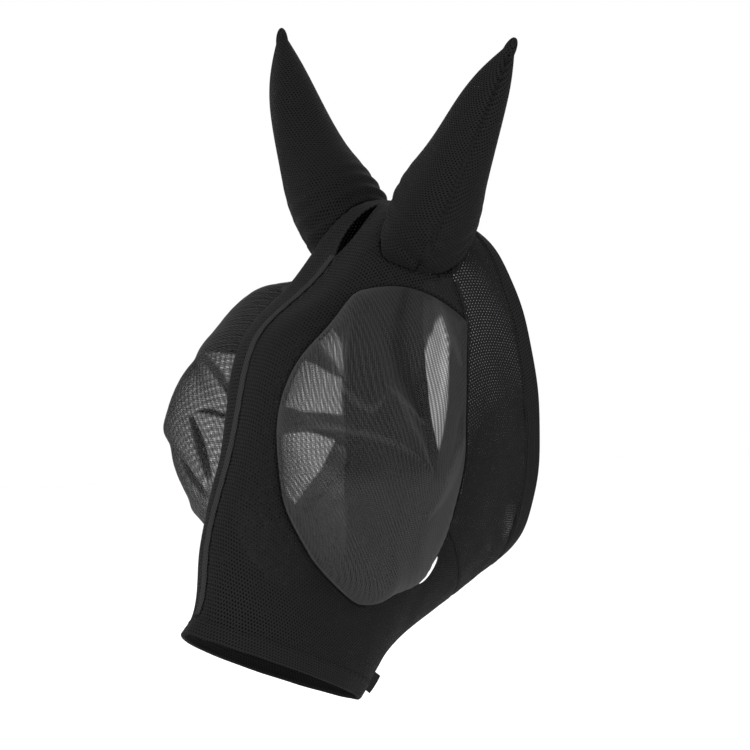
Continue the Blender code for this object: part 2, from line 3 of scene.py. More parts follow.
import bmesh
import bpy
import numpy as np
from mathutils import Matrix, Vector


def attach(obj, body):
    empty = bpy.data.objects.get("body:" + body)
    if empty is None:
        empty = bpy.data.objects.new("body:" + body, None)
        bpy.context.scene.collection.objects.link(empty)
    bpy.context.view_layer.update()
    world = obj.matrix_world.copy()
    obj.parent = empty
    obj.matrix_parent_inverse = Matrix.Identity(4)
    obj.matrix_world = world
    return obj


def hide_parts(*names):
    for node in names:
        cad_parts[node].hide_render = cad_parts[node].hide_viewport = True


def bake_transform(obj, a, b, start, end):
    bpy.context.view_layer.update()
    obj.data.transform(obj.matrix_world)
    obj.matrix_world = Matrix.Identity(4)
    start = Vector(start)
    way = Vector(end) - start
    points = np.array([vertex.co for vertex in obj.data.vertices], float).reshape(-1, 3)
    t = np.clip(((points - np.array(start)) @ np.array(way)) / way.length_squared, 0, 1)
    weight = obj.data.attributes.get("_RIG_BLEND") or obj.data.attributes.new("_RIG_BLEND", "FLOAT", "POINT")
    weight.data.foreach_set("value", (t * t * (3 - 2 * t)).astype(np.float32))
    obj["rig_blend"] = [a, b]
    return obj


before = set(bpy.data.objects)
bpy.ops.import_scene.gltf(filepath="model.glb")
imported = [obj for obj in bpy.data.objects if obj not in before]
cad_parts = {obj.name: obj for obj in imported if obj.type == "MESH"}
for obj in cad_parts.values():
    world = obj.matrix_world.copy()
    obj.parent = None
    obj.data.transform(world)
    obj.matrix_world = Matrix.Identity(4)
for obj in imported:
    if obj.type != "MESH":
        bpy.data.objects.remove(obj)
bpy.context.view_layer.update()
print("frame loaded:", len(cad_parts), "nodes")

# The mask's own shape, as the pattern is drawn: the face line runs from the nose hem over the poll
# to the neck hem, the jaw line from the chin to the throat, and ribs join the two.
hoodCut = {
    "reach": 0.2165,
    "drop": 0.4722,
    "halfWidth": 0.098,
    "faceLine": (
        (-1.000, -0.845), (-0.935, -0.813), (-0.882, -0.692), (-0.764, -0.499), (-0.702, -0.378),
        (-0.601, -0.253), (-0.465, -0.201), (-0.294, -0.143), (-0.219, -0.107), (-0.105, -0.046),
        (0.022, -0.002), (0.198, -0.006), (0.351, -0.044),
    ),
    "jawLine": (
        (-0.105, -1.000), (-0.018, -0.946), (0.132, -0.877), (0.290, -0.833), (0.456, -0.785),
        (0.592, -0.744), (0.654, -0.722),
    ),
    "widthAt": (0.0, 0.12, 0.30, 0.45, 0.60, 0.72, 0.86, 1.0),
    "width": (0.58, 0.61, 0.67, 0.80, 0.95, 1.00, 1.00, 0.94),
    "bow": (-0.003, -0.002, 0.0, 0.0, 0.0, 0.0, 0.006, 0.021),
    "roundAt": (0.0, 0.08, 0.20, 0.35, 0.50, 0.62, 0.75, 0.88, 1.0),
    "roundFace": (1.10, 0.85, 0.74, 0.67, 0.60, 0.50, 0.42, 0.48, 0.72),
    "roundJaw": (1.2, 1.3, 1.4, 1.5, 1.5, 1.5, 1.4, 1.3, 1.15),
    "middle": (0.0, -0.03, -0.22),  # a point well inside
}


def smoothCurve(points, at, knots=None):
    # Natural cubic spline through the points, read at whole arrays of values.
    points = np.asarray(points, float)
    points = points.reshape(len(points), -1)
    if knots is None:
        steps = np.linalg.norm(np.diff(points, axis=0), axis=1)
        knots = np.concatenate([[0], np.cumsum(steps)]) / steps.sum()
    knots = np.asarray(knots, float)
    gap = np.diff(knots)
    left = np.eye(len(knots))
    right = np.zeros_like(points)
    middle = np.arange(1, len(knots) - 1)
    left[middle, middle - 1] = gap[:-1]
    left[middle, middle] = 2 * (gap[:-1] + gap[1:])
    left[middle, middle + 1] = gap[1:]
    slopes = np.diff(points, axis=0) / gap[:, None]
    right[1:-1] = 6 * np.diff(slopes, axis=0)
    bend = np.linalg.solve(left, right)
    at = np.clip(np.asarray(at, float), knots[0], knots[-1])
    flat = at.ravel()
    k = np.clip(np.searchsorted(knots, flat, side="right") - 1, 0, len(knots) - 2)
    a, b, span = (knots[k + 1] - flat)[:, None], (flat - knots[k])[:, None], gap[k][:, None]
    out = (bend[k] * a**3 + bend[k + 1] * b**3) / (6 * span)
    out += (points[k] / span - bend[k] * span / 6) * a
    out += (points[k + 1] / span - bend[k + 1] * span / 6) * b
    return out.reshape(at.shape + (points.shape[1],))


def unit(vectors):
    # The same directions with a length of one.
    return vectors / np.linalg.norm(vectors, axis=-1, keepdims=True)


def runAlong(line):
    # Distance from the first point of a line to each of its points.
    return np.concatenate([[0], np.cumsum(np.linalg.norm(np.diff(line, axis=0), axis=1))])


def along(name, station):
    # One of the cut's values, read along the stations from the nose, 0, to the neck, 1.
    at = hoodCut["roundAt"] if name.startswith("round") else hoodCut["widthAt"]
    return smoothCurve(hoodCut[name], station, at)[..., 0]


def hood(station, turn):
    # A rib runs from the face line, turn 0, to the jaw line, turn 1: half a cosine along the rib,
    # and out to the side by the width times a power of the sine, with a bow square to the rib.
    station, turn = np.broadcast_arrays(np.asarray(station, float), np.asarray(turn, float))
    size = np.array([hoodCut["reach"], hoodCut["drop"]])
    face = smoothCurve(np.array(hoodCut["faceLine"]) * size, station)
    jaw = smoothCurve(np.array(hoodCut["jawLine"]) * size, station)
    inside = np.clip(turn, 0, 1)
    power = along("roundFace", station) * (1 - inside) + along("roundJaw", station) * inside
    sine = np.sin(math.pi * turn)
    across = along("width", station) * hoodCut["halfWidth"] * np.sign(sine) * np.abs(sine) ** power
    rib = jaw - face
    square = unit(np.stack([-rib[..., 1], rib[..., 0]], -1))
    swell = np.clip(np.sin(math.pi * inside**0.6), 0, 1) ** 1.8
    place = face + rib * ((1 - np.cos(math.pi * turn)) / 2)[..., None]
    place = place + square * (along("bow", station) * swell)[..., None]
    return np.stack([across, place[..., 0], place[..., 1]], -1)


def hoodNormal(station, turn, step=0.002):
    # Square to the surface and pointing out, from small steps along and round it.
    station, turn = np.broadcast_arrays(np.asarray(station, float), np.asarray(turn, float))
    up = hood(np.clip(station + step, 0, 1), turn) - hood(np.clip(station - step, 0, 1), turn)
    ahead = hood(station, turn + step) - hood(station, turn - step)
    return unit(np.cross(ahead, up))


def atDepth(station, turn, depth):
    # The hood's surface moved inwards by a depth.
    return hood(station, turn) - hoodNormal(station, turn) * np.asarray(depth)[..., None]


def turnAt(station, across, atJaw=False):
    # The turn at which the hood is this far from the centre plane: the width formula read backwards.
    station, across = np.broadcast_arrays(np.asarray(station, float), np.asarray(across, float))
    near, far = ("roundJaw", "roundFace") if atJaw else ("roundFace", "roundJaw")
    near, far = along(near, station), along(far, station)
    width = along("width", station) * hoodCut["halfWidth"]
    turn = np.zeros_like(width)
    for _ in range(4):
        power = near * (1 - turn) + far * turn
        turn = np.arcsin(np.clip(np.abs(across) / width, 0, 1) ** (1 / power)) / math.pi
    turn = np.sign(across) * turn
    return 1 - turn if atJaw else turn


# How far each point of the hood lies along its cloth: u along a rib from its middle, v up the side.
tableRows, tableColumns = 90, 180
sideColumn = 80  # the line up the side that v is measured on
ribPoints = hood(np.linspace(0, 1, tableRows + 1)[:, None], np.linspace(0, 1, tableColumns + 1)[None, :])
ribLengths = np.stack([runAlong(rib) for rib in ribPoints])
ribLengths -= ribLengths[:, tableColumns // 2, None]
sideLengths = runAlong(ribPoints[:, sideColumn])
faceLength = runAlong(ribPoints[:, 0])[-1]


def clothPlace(station, turn):
    # Bilinear reading of the table above, in metres.
    station, turn = np.broadcast_arrays(np.asarray(station, float), np.asarray(turn, float))
    row, column = np.clip(station, 0, 1) * tableRows, np.clip(turn, 0, 1) * tableColumns
    r, c = np.minimum(row.astype(int), tableRows - 1), np.minimum(column.astype(int), tableColumns - 1)
    fr, fc = row - r, column - c
    u = (ribLengths[r, c] * (1 - fc) + ribLengths[r, c + 1] * fc) * (1 - fr)
    u = u + (ribLengths[r + 1, c] * (1 - fc) + ribLengths[r + 1, c + 1] * fc) * fr
    v = sideLengths[r] * (1 - fr) + sideLengths[r + 1] * fr
    return np.stack([u, v], -1)


def normalsOf(points):
    # Cross product of the two grid directions at every point.
    up, across = np.gradient(points, axis=(0, 1))
    normal = np.cross(across, up)
    return normal / np.maximum(np.linalg.norm(normal, axis=-1, keepdims=True), 1e-12)


def placeObject(name, data):
    made = bpy.data.objects.new(name, data)
    bpy.context.scene.collection.objects.link(made)
    return made


def gridPiece(name, points, uv, finish, wrap=False, tube=False, inside=None, keep=None, wall=0.0):
    # Rows and columns of points become quads. wrap joins the last column to the first, and tube the
    # last row to the first. inside is a point the faces look away from, keep a mask of the quads.
    rows, columns = points.shape[:2]
    r, c = np.meshgrid(
        np.arange(rows if tube else rows - 1), np.arange(columns if wrap else columns - 1), indexing="ij"
    )
    r2, c2 = (r + 1) % rows, (c + 1) % columns
    corners = np.stack([r * columns + c, r * columns + c2, r2 * columns + c2, r2 * columns + c], -1)
    places = np.stack([uv[r, c], uv[r, c + 1], uv[r + 1, c + 1], uv[r + 1, c]], -2)
    corners, places = corners.reshape(-1, 4), places.reshape(-1, 4, 2)
    if keep is not None:
        corners, places = corners[keep.ravel()], places[keep.ravel()]
    flat = points.reshape(-1, 3)
    if inside is not None:
        a, b, d = flat[corners[:, 0]], flat[corners[:, 1]], flat[corners[:, 3]]
        if (np.cross(b - a, d - a) * (a - np.asarray(inside))).sum() < 0:
            corners, places = corners[:, ::-1], places[:, ::-1]
    used, corners = np.unique(corners, return_inverse=True)
    corners = corners.reshape(-1, 4)
    mesh = bpy.data.meshes.new(name)
    mesh.from_pydata(flat[used].tolist(), [], corners.tolist())
    layer = mesh.uv_layers.new(name="UVMap")
    layer.uv.foreach_set("vector", places.astype(np.float32).ravel())
    mesh.shade_smooth()
    mesh.validate()
    piece = placeObject(name, mesh)
    piece.data.materials.append(finish)
    if wall:
        solid = piece.modifiers.new("wall", "SOLIDIFY")
        solid.thickness = wall
        solid.offset = -1.0
        solid.use_even_offset = False
    return piece


sides = ((1, "left"), (-1, "right"))


def mirrorSide(points, side):
    # The right side is the left one turned over the centre plane.
    return np.asarray(points) * np.array([side, 1.0, 1.0])


def gridArea(points):
    # Half the cross product of each quad's diagonals, added up.
    first = points[1:, 1:] - points[:-1, :-1]
    second = points[1:, :-1] - points[:-1, 1:]
    return float(np.linalg.norm(np.cross(first, second), axis=-1).sum() / 2)


def flatSize(uv):
    # Width and length of the cloth that a grid's map covers, laid flat.
    return float(np.ptp(uv[..., 0])), float(np.ptp(uv[..., 1]))


clothStretch = 1.04  # stretch cloth is cut a little smaller than the shape it is pulled over


def declareCloth(area, flat):
    cut = area / clothStretch
    width, length = flat
    if cut > width * length:
        length = cut / width


# Materials are built from the two weave groups and the shared tone group below.
def addNode(tree, kind, place, **settings):
    node = tree.nodes.new(kind)
    node.location = place
    for name, value in settings.items():
        setattr(node, name, value)
    return node


def maths(tree, operation, first, second=None, third=None, clamp=False):
    # One Math node. Each input is a number or another node's output.
    node = addNode(tree, "ShaderNodeMath", (0, 0), operation=operation, use_clamp=clamp)
    for socket, value in zip(node.inputs, (first, second, third)):
        if isinstance(value, bpy.types.NodeSocket):
            tree.links.new(value, socket)
        elif value is not None:
            socket.default_value = value
    return node.outputs[0]


def ranged(tree, value, low, high, outLow=0.0, outHigh=1.0):
    # A Map Range node with smooth ends.
    node = addNode(tree, "ShaderNodeMapRange", (0, 0), interpolation_type="SMOOTHSTEP")
    tree.links.new(value, node.inputs["Value"])
    for socket, number in (("From Min", low), ("From Max", high), ("To Min", outLow), ("To Max", outHigh)):
        if isinstance(number, bpy.types.NodeSocket):
            tree.links.new(number, node.inputs[socket])
        else:
            node.inputs[socket].default_value = number
    return node.outputs["Result"]


def wave(tree, place, angle, pitch, shift=None):
    # Cosine of the distance along one direction, over the pitch.
    dot = addNode(tree, "ShaderNodeVectorMath", (0, 0), operation="DOT_PRODUCT")
    tree.links.new(place, dot.inputs[0])
    dot.inputs[1].default_value = (math.cos(angle), math.sin(angle), 0.0)
    distance = dot.outputs["Value"]
    if shift is not None:
        distance = maths(tree, "ADD", distance, shift)
    turns = maths(tree, "DIVIDE", distance, pitch)
    return maths(tree, "COSINE", maths(tree, "MULTIPLY", turns, 2 * math.pi))


def newGroup(name, inputs, outputs):
    group = bpy.data.node_groups.new(name, "ShaderNodeTree")
    for label, kind, value in inputs:
        socket = group.interface.new_socket(name=label, in_out="INPUT", socket_type=kind)
        if value is not None:
            socket.default_value = value
    for label, kind in outputs:
        group.interface.new_socket(name=label, in_out="OUTPUT", socket_type=kind)
    start = addNode(group, "NodeGroupInput", (-900, 0))
    end = addNode(group, "NodeGroupOutput", (900, 0))
    return group, start.outputs, end.inputs


def buildAirMesh():
    # Three waves at 60 degrees add up to peaks on a honeycomb, which are the cells of the knit.
    # Finer waves are the yarns between the cells.
    group, given, result = newGroup(
        "airMeshKnit",
        [("Vector", "NodeSocketVector", None), ("Pitch", "NodeSocketFloat", 0.0031),
         ("Cell", "NodeSocketFloat", 0.55), ("Yarn", "NodeSocketFloat", 0.35)],
        [("Open", "NodeSocketFloat"), ("Height", "NodeSocketFloat"), ("Tone", "NodeSocketFloat")],
    )
    wobble = addNode(group, "ShaderNodeTexNoise", (-700, -200))
    wobble.inputs["Scale"].default_value = 60.0
    wobble.inputs["Detail"].default_value = 1.0
    group.links.new(given["Vector"], wobble.inputs["Vector"])
    drift = maths(group, "MULTIPLY", maths(group, "SUBTRACT", wobble.outputs["Fac"], 0.5), 0.0009)
    spacing = maths(group, "MULTIPLY", given["Pitch"], math.cos(math.pi / 6))
    waves = [wave(group, given["Vector"], a, spacing, drift) for a in (0.0, math.pi / 3, 2 * math.pi / 3)]
    cells = maths(group, "ADD", maths(group, "ADD", waves[0], waves[1]), waves[2])
    low = maths(group, "SUBTRACT", 2.55, maths(group, "MULTIPLY", given["Cell"], 2.0))
    high = maths(group, "ADD", low, 0.55)
    group.links.new(ranged(group, cells, low, high), result["Open"])
    fine = maths(group, "DIVIDE", given["Pitch"], 6.0)
    yarns = maths(group, "MULTIPLY", wave(group, given["Vector"], 0.5, fine, drift), given["Yarn"])
    dome = ranged(group, cells, -1.5, 2.6, 1.0, 0.0)
    group.links.new(maths(group, "ADD", dome, maths(group, "MULTIPLY", yarns, 0.3)), result["Height"])
    tone = maths(group, "ADD", maths(group, "MULTIPLY", dome, 0.8), maths(group, "MULTIPLY", yarns, 0.25))
    group.links.new(tone, result["Tone"])
    return group


def buildSheerNet():
    # Two families of fine threads, and the slow bands that two layers of net make together.
    group, given, result = newGroup(
        "sheerNet",
        [("Vector", "NodeSocketVector", None), ("Pitch", "NodeSocketFloat", 0.0016),
         ("Cover", "NodeSocketFloat", 0.5), ("Bands", "NodeSocketFloat", 0.2)],
        [("Cover", "NodeSocketFloat"), ("Height", "NodeSocketFloat"), ("Tone", "NodeSocketFloat")],
    )
    swirl = addNode(group, "ShaderNodeTexNoise", (-700, -200))
    swirl.inputs["Scale"].default_value = 11.0
    swirl.inputs["Detail"].default_value = 0.0
    group.links.new(given["Vector"], swirl.inputs["Vector"])
    drift = maths(group, "MULTIPLY", maths(group, "SUBTRACT", swirl.outputs["Fac"], 0.5), 0.035)
    warp, weft = (wave(group, given["Vector"], angle, given["Pitch"]) for angle in (0.9, -0.9))
    threads = maths(group, "ADD", warp, weft)
    bandPitch = maths(group, "MULTIPLY", given["Pitch"], 2.3)
    bands = maths(group, "MULTIPLY", wave(group, given["Vector"], 1.2, bandPitch, drift), given["Bands"])
    slow = maths(group, "MULTIPLY", maths(group, "SUBTRACT", swirl.outputs["Fac"], 0.5), given["Bands"])
    relief = maths(group, "MULTIPLY", threads, 0.25)
    uneven = maths(group, "ADD", maths(group, "MULTIPLY", relief, 0.3), maths(group, "ADD", bands, slow))
    cover = maths(group, "ADD", given["Cover"], uneven)
    group.links.new(maths(group, "ADD", cover, 0.0, clamp=True), result["Cover"])
    group.links.new(maths(group, "ADD", relief, maths(group, "MULTIPLY", bands, 1.5)), result["Height"])
    group.links.new(maths(group, "ADD", maths(group, "ADD", relief, 0.5), bands), result["Tone"])
    return group


def buildClothTone():
    # Dark and light yarn colours mixed by the weave, with slow fading over the cloth and lint specks.
    group, given, result = newGroup(
        "clothTone",
        [("Vector", "NodeSocketVector", None), ("Weave", "NodeSocketFloat", 0.5),
         ("Dark", "NodeSocketColor", (0, 0, 0, 1)), ("Light", "NodeSocketColor", (1, 1, 1, 1)),
         ("Fading", "NodeSocketFloat", 0.25), ("Lint", "NodeSocketFloat", 0.2)],
        [("Color", "NodeSocketColor"), ("Roughness", "NodeSocketFloat")],
    )
    slow = addNode(group, "ShaderNodeTexNoise", (-700, -200))
    slow.inputs["Scale"].default_value = 9.0
    slow.inputs["Detail"].default_value = 3.0
    group.links.new(given["Vector"], slow.inputs["Vector"])
    lint = addNode(group, "ShaderNodeTexNoise", (-700, -450))
    lint.inputs["Scale"].default_value = 420.0
    lint.inputs["Detail"].default_value = 2.0
    group.links.new(given["Vector"], lint.inputs["Vector"])
    fading = maths(group, "MULTIPLY", maths(group, "SUBTRACT", slow.outputs["Fac"], 0.5), given["Fading"])
    specks = maths(group, "MULTIPLY", ranged(group, lint.outputs["Fac"], 0.66, 0.78), given["Lint"])
    amount = maths(group, "ADD", maths(group, "ADD", given["Weave"], fading), specks, clamp=True)
    blend = addNode(group, "ShaderNodeMix", (500, 0), data_type="RGBA")
    group.links.new(amount, blend.inputs["Factor"])
    group.links.new(given["Dark"], blend.inputs["A"])
    group.links.new(given["Light"], blend.inputs["B"])
    group.links.new(blend.outputs["Result"], result["Color"])
    group.links.new(ranged(group, slow.outputs["Fac"], 0.3, 0.7, 0.72, 0.86), result["Roughness"])
    return group


airMeshKnit, sheerNet, clothTone = buildAirMesh(), buildSheerNet(), buildClothTone()


def startMaterial(name, sheen, specular):
    made = bpy.data.materials.new(name)
    made.use_nodes = True
    tree = made.node_tree
    shader = tree.nodes["Principled BSDF"]
    shader.inputs["Sheen Weight"].default_value = sheen
    shader.inputs["Sheen Roughness"].default_value = 0.5
    shader.inputs["Specular IOR Level"].default_value = specular
    place = addNode(tree, "ShaderNodeTexCoord", (-900, 0)).outputs["UV"]
    return made, tree, shader, place


def placeGroup(tree, group, place, **values):
    node = addNode(tree, "ShaderNodeGroup", (-500, 0), node_tree=group)
    if place is not None:
        tree.links.new(place, node.inputs["Vector"])
    for name, value in values.items():
        node.inputs[name].default_value = value
    return node


def colourFrom(tree, shader, tone):
    tree.links.new(tone.outputs["Color"], shader.inputs["Base Color"])
    tree.links.new(tone.outputs["Roughness"], shader.inputs["Roughness"])


def grey(level, blue=1.0):
    return (level, level, level * blue, 1.0)


def raiseYarns(tree, shader, height, distance, strength):
    bump = addNode(tree, "ShaderNodeBump", (-200, -300))
    bump.inputs["Distance"].default_value = distance
    bump.inputs["Strength"].default_value = strength
    tree.links.new(height, bump.inputs["Height"])
    tree.links.new(bump.outputs["Normal"], shader.inputs["Normal"])


def airMeshCloth(name, cell=0.55, dark=0.001, light=0.011, turned=0.0, seeThrough=1.0, pitch=0.0031):
    # Knitted air mesh: open cells, raised yarns, a soft bloom where the light grazes it.
    made, tree, shader, place = startMaterial(name, sheen=0.012, specular=0.03)
    spin = addNode(tree, "ShaderNodeMapping", (-700, 0))
    spin.inputs["Rotation"].default_value = (0.0, 0.0, turned)
    tree.links.new(place, spin.inputs["Vector"])
    knit = placeGroup(tree, airMeshKnit, spin.outputs["Vector"], Cell=cell, Pitch=pitch)
    tone = placeGroup(tree, clothTone, place, Dark=grey(dark, 1.06), Light=grey(light, 1.04))
    tree.links.new(knit.outputs["Tone"], tone.inputs["Weave"])
    colourFrom(tree, shader, tone)
    cover = maths(tree, "SUBTRACT", 1.0, maths(tree, "MULTIPLY", knit.outputs["Open"], seeThrough))
    tree.links.new(cover, shader.inputs["Alpha"])
    raiseYarns(tree, shader, knit.outputs["Height"], 0.0006, 0.7)
    return made


def gauzeCloth(name, single=0.37, doubled=0.78, bands=0.10, dark=0.006, light=0.025):
    # Sheer net: each face of the cloth hides a share of what is behind it, more where the net lies
    # doubled in folds, as the second map tells, and more where it is seen along its surface.
    made, tree, shader, place = startMaterial(name, sheen=0.03, specular=0.04)
    net = placeGroup(tree, sheerNet, place, Bands=bands)
    layers = addNode(tree, "ShaderNodeUVMap", (-1100, -300), uv_map="Layers")
    split = addNode(tree, "ShaderNodeSeparateXYZ", (-900, -300))
    tree.links.new(layers.outputs["UV"], split.inputs[0])
    tree.links.new(ranged(tree, split.outputs["X"], 0.0, 1.0, single, doubled), net.inputs["Cover"])
    tone = placeGroup(tree, clothTone, place, Dark=grey(dark), Light=grey(light, 1.02))
    # Painted light and shade: the second map's v lightens the net's colour on the lower dome and raised
    # creases and darkens it in sunken ones.
    lit = maths(tree, "MULTIPLY_ADD", split.outputs["Y"], 1.3, -0.65)
    tree.links.new(maths(tree, "ADD", net.outputs["Tone"], lit), tone.inputs["Weave"])
    colourFrom(tree, shader, tone)
    facing = addNode(tree, "ShaderNodeLayerWeight", (-500, -500)).outputs["Facing"]
    square = maths(tree, "MAXIMUM", maths(tree, "SUBTRACT", 1.0, facing), 0.15)
    clear = maths(tree, "SUBTRACT", 1.0, net.outputs["Cover"])
    passed = maths(tree, "POWER", clear, maths(tree, "DIVIDE", 1.0, square))
    tree.links.new(maths(tree, "SUBTRACT", 1.0, passed), shader.inputs["Alpha"])
    raiseYarns(tree, shader, net.outputs["Height"], 0.0003, 0.5)
    return made


def wovenTape(name, pitch, dark, light, roughScale=1.0):
    # Close plain weave: two crossed families of threads, none of it open.
    made, tree, shader, place = startMaterial(name, sheen=0.01, specular=0.05)
    warp, weft = wave(tree, place, 0.0, pitch), wave(tree, place, math.pi / 2, pitch)
    weave = maths(tree, "MULTIPLY", warp, weft)
    level = maths(tree, "MULTIPLY_ADD", weave, 0.4, 0.5)
    tone = placeGroup(tree, clothTone, place, Dark=grey(dark), Light=grey(light))
    tree.links.new(level, tone.inputs["Weave"])
    tree.links.new(tone.outputs["Color"], shader.inputs["Base Color"])
    rough = maths(tree, "MULTIPLY", tone.outputs["Roughness"], roughScale)
    tree.links.new(rough, shader.inputs["Roughness"])
    raiseYarns(tree, shader, level, 0.0003, 0.6)
    return made


def printedInk(name):
    # White print that sits on the yarns and leaves the cells open.
    made, tree, shader, place = startMaterial(name, sheen=0.0, specular=0.4)
    knit = placeGroup(tree, airMeshKnit, place, Cell=0.35)
    tone = placeGroup(tree, clothTone, place, Dark=grey(0.45), Light=grey(0.95), Weave=0.8)
    tree.links.new(tone.outputs["Color"], shader.inputs["Base Color"])
    shader.inputs["Roughness"].default_value = 0.5
    tree.links.new(maths(tree, "SUBTRACT", 1.0, knit.outputs["Open"]), shader.inputs["Alpha"])
    raiseYarns(tree, shader, knit.outputs["Height"], 0.0003, 0.4)
    return made


faceMesh = airMeshCloth("faceAirMesh", turned=math.pi / 6, seeThrough=0.25)
jowlMesh = airMeshCloth("jowlAirMesh", cell=0.62, dark=0.014, light=0.004, turned=0.2, seeThrough=0.6)
earMesh = airMeshCloth("earAirMesh", cell=0.45, light=0.010, turned=0.0, seeThrough=0.15)
hemMesh = airMeshCloth("hemAirMesh", cell=0.5, light=0.012, turned=math.pi / 6, seeThrough=0.0)
bandMesh = airMeshCloth("bandAirMesh", cell=0.5, dark=0.006, light=0.026, turned=0.9, seeThrough=0.0)
eyeGauze = gauzeCloth("eyeGauze")
gauzeEdge = wovenTape("gauzeEdge", 0.0011, 0.012, 0.06)
seamTapeCloth = wovenTape("seamTapeWeave", 0.0012, 0.003, 0.010)
threadCloth = wovenTape("sewingThread", 0.0005, 0.006, 0.022, 0.7)
labelCloth = wovenTape("labelWeave", 0.0006, 0.006, 0.018, 0.75)
printInk = printedInk("printedInk")
print("materials ready")


# How the cloth is cut: spokes run from the eye opening to a panel's edges, each with its
# (station, turn) at the eye and then at the edge.
panelCut = {
    "faceSpokes": (
        (0.856, 0.373, 0.885, 0.00), (0.783, 0.251, 0.80, 0.00), (0.711, 0.152, 0.715, 0.00),
        (0.666, 0.125, 0.66, 0.00), (0.600, 0.150, 0.59, 0.00), (0.532, 0.160, 0.51, 0.00),
        (0.460, 0.158, 0.42, 0.00), (0.393, 0.170, 0.31, 0.00), (0.335, 0.215, 0.16, 0.00),
        (0.285, 0.275, 0.00, 0.00), (0.250, 0.366, 0.00, 0.24), (0.232, 0.440, 0.00, 0.42),
        (0.233, 0.573, 0.00, 0.66), (0.285, 0.625, 0.00, 0.82), (0.359, 0.667, 0.00, 1.00),
        (0.454, 0.704, 0.30, 1.00), (0.553, 0.683, 0.50, 1.00), (0.610, 0.650, 0.68, 1.00),
    ),
    "jowlSpokes": (
        (0.610, 0.650, 0.68, 1.00), (0.681, 0.595, 1.00, 1.00), (0.732, 0.555, 1.00, 0.78),
        (0.763, 0.514, 1.00, 0.62), (0.797, 0.470, 1.00, 0.46), (0.826, 0.426, 1.00, 0.28),
        (0.845, 0.395, 1.00, 0.00), (0.856, 0.373, 0.885, 0.00),
    ),
    "perSpoke": 20,  # columns of the cloth to each spoke
    "rows": 64,
    "wall": 0.0011,
    "spokeStep": 0.05,
    "seamDip": 0.0009,
    "seamReach": 0.0022,
    "slack": 0.0011,
    "earPucker": 0.0006,
    "hem": 0.020,
    "noseEnd": 0.22,
    "neckEnd": 0.14,
}
slotCut = {"at": 0.800, "length": 0.076, "halfWidth": 0.0105}
earCut = {
    "base": (
        (0.765, 0.105), (0.782, 0.188), (0.825, 0.258), (0.875, 0.270), (0.920, 0.215),
        (0.936, 0.130), (0.912, 0.060), (0.862, 0.036), (0.805, 0.050),
    ),
    "height": 0.238,
    "halfWidth": 0.046,
    "splay": math.radians(35),
    "setBack": 0.04,
    "taperAt": (0.0, 0.16, 0.33, 0.58, 0.80, 0.93),
    "taper": (1.08, 0.96, 0.77, 0.57, 0.35, 0.13),
    "broad": 1.12,
    "deep": 0.92,
    "blend": 0.35,
    "bow": (0.010, -0.010, 0.0),
    "seamAt": 0.16,
    "columns": 132,
    "rows": 110,
    "wall": 0.0011,
    "seamDip": 0.0028,
    "seamHalf": 0.0016,
    "ridge": {"rise": 0.0006, "off": 0.004, "half": 0.0022},  # the allowance beside the seam
    "creases": 0.0017,
    "creaseReach": 0.16,
    "waves": 0.0008,
    "tuck": 0.0012,
    "tape": {"from": 0.06, "to": 0.88, "depth": 0.0026, "width": 0.008, "thick": 0.0006},
    "hold": 0.05,  # how far up the axis the root gives way to the hood
}
eyeCut = {
    "centre": (0.545, 0.405),
    "faceShare": 0.62,
    "rise": 0.060,
    "square": 3.0,
    "shoulder": 0.7,
    "lean": (2.33, 1.6),
    "under": 0.0009,
    "gathers": 74,
    "gatherRise": 0.0007,
    "slack": 0.0016,
    "columns": 300,
    "rows": 96,
    "wall": 0.0004,
}


def eyeOutline(spokes, place):
    # Smooth curve through the spokes' inner ends.
    return smoothCurve(np.array(spokes)[:, :2], place, np.linspace(0, 1, len(spokes)))


def edgeOfPanel(spokes, place):
    # Straight runs between the spokes' outer ends.
    knots, ends = np.linspace(0, 1, len(spokes)), np.array(spokes)[:, 2:]
    return np.stack([np.interp(place, knots, ends[:, 0]), np.interp(place, knots, ends[:, 1])], -1)


def wholeEye(place):
    # The closed opening: the cheek's stretch of it, then the jowl's.
    share = eyeCut["faceShare"]
    place = np.mod(place, 1.0)
    front = eyeOutline(panelCut["faceSpokes"], np.clip(place / share, 0, 1))
    rear = eyeOutline(panelCut["jowlSpokes"], np.clip((place - share) / (1 - share), 0, 1))
    return np.where((place < share)[..., None], front, rear)


def closedCurve(points, place):
    # Smooth closed curve through (station, turn) points.
    points, extra = np.array(points), 3
    run = np.concatenate([points[-extra:], points, points[: extra + 1]])
    knots = (np.arange(len(run)) - extra) / len(points)
    return smoothCurve(run, np.mod(place, 1.0), knots)


def hemStation(share, turn, atNeck):
    # The station a share of the hem's width in from the nose or the neck edge.
    edge = 1.0 if atNeck else 0.0
    inner = 0.98 if atNeck else 0.02
    speed = np.linalg.norm(hood(edge, turn) - hood(inner, turn), axis=-1) / 0.02
    inset = share * panelCut["hem"] / speed
    return edge - inset if atNeck else inset


def betweenHems(station, turn):
    # Draws the ends of a panel in to the top-stitching of the hems.
    nose = hemStation(1.0, turn, False)
    neck = 1 - hemStation(1.0, turn, True)
    nearNose = np.clip(1 - station / panelCut["noseEnd"], 0, 1)
    nearNeck = np.clip(1 - (1 - station) / panelCut["neckEnd"], 0, 1)
    return station + nose * nearNose - neck * nearNeck


def slotHalf(station):
    # Half the width of the forelock slot: a leaf with a point at each end.
    away = (station - slotCut["at"]) * faceLength / (slotCut["length"] / 2)
    return slotCut["halfWidth"] * np.clip(1 - away**2, 0, 1) ** 0.85


def slackness(uv):
    # Slow unevenness of worn cloth: a few crossing waves, no two in step.
    u, v = uv[..., 0], uv[..., 1]
    return (
        np.sin(61 * u + 23 * v + 0.4) + np.sin(-37 * u + 71 * v + 1.9)
        + 0.6 * np.sin(113 * u + 47 * v + 2.2) + 0.5 * np.sin(29 * u - 131 * v + 0.7)
    ) / 3.1


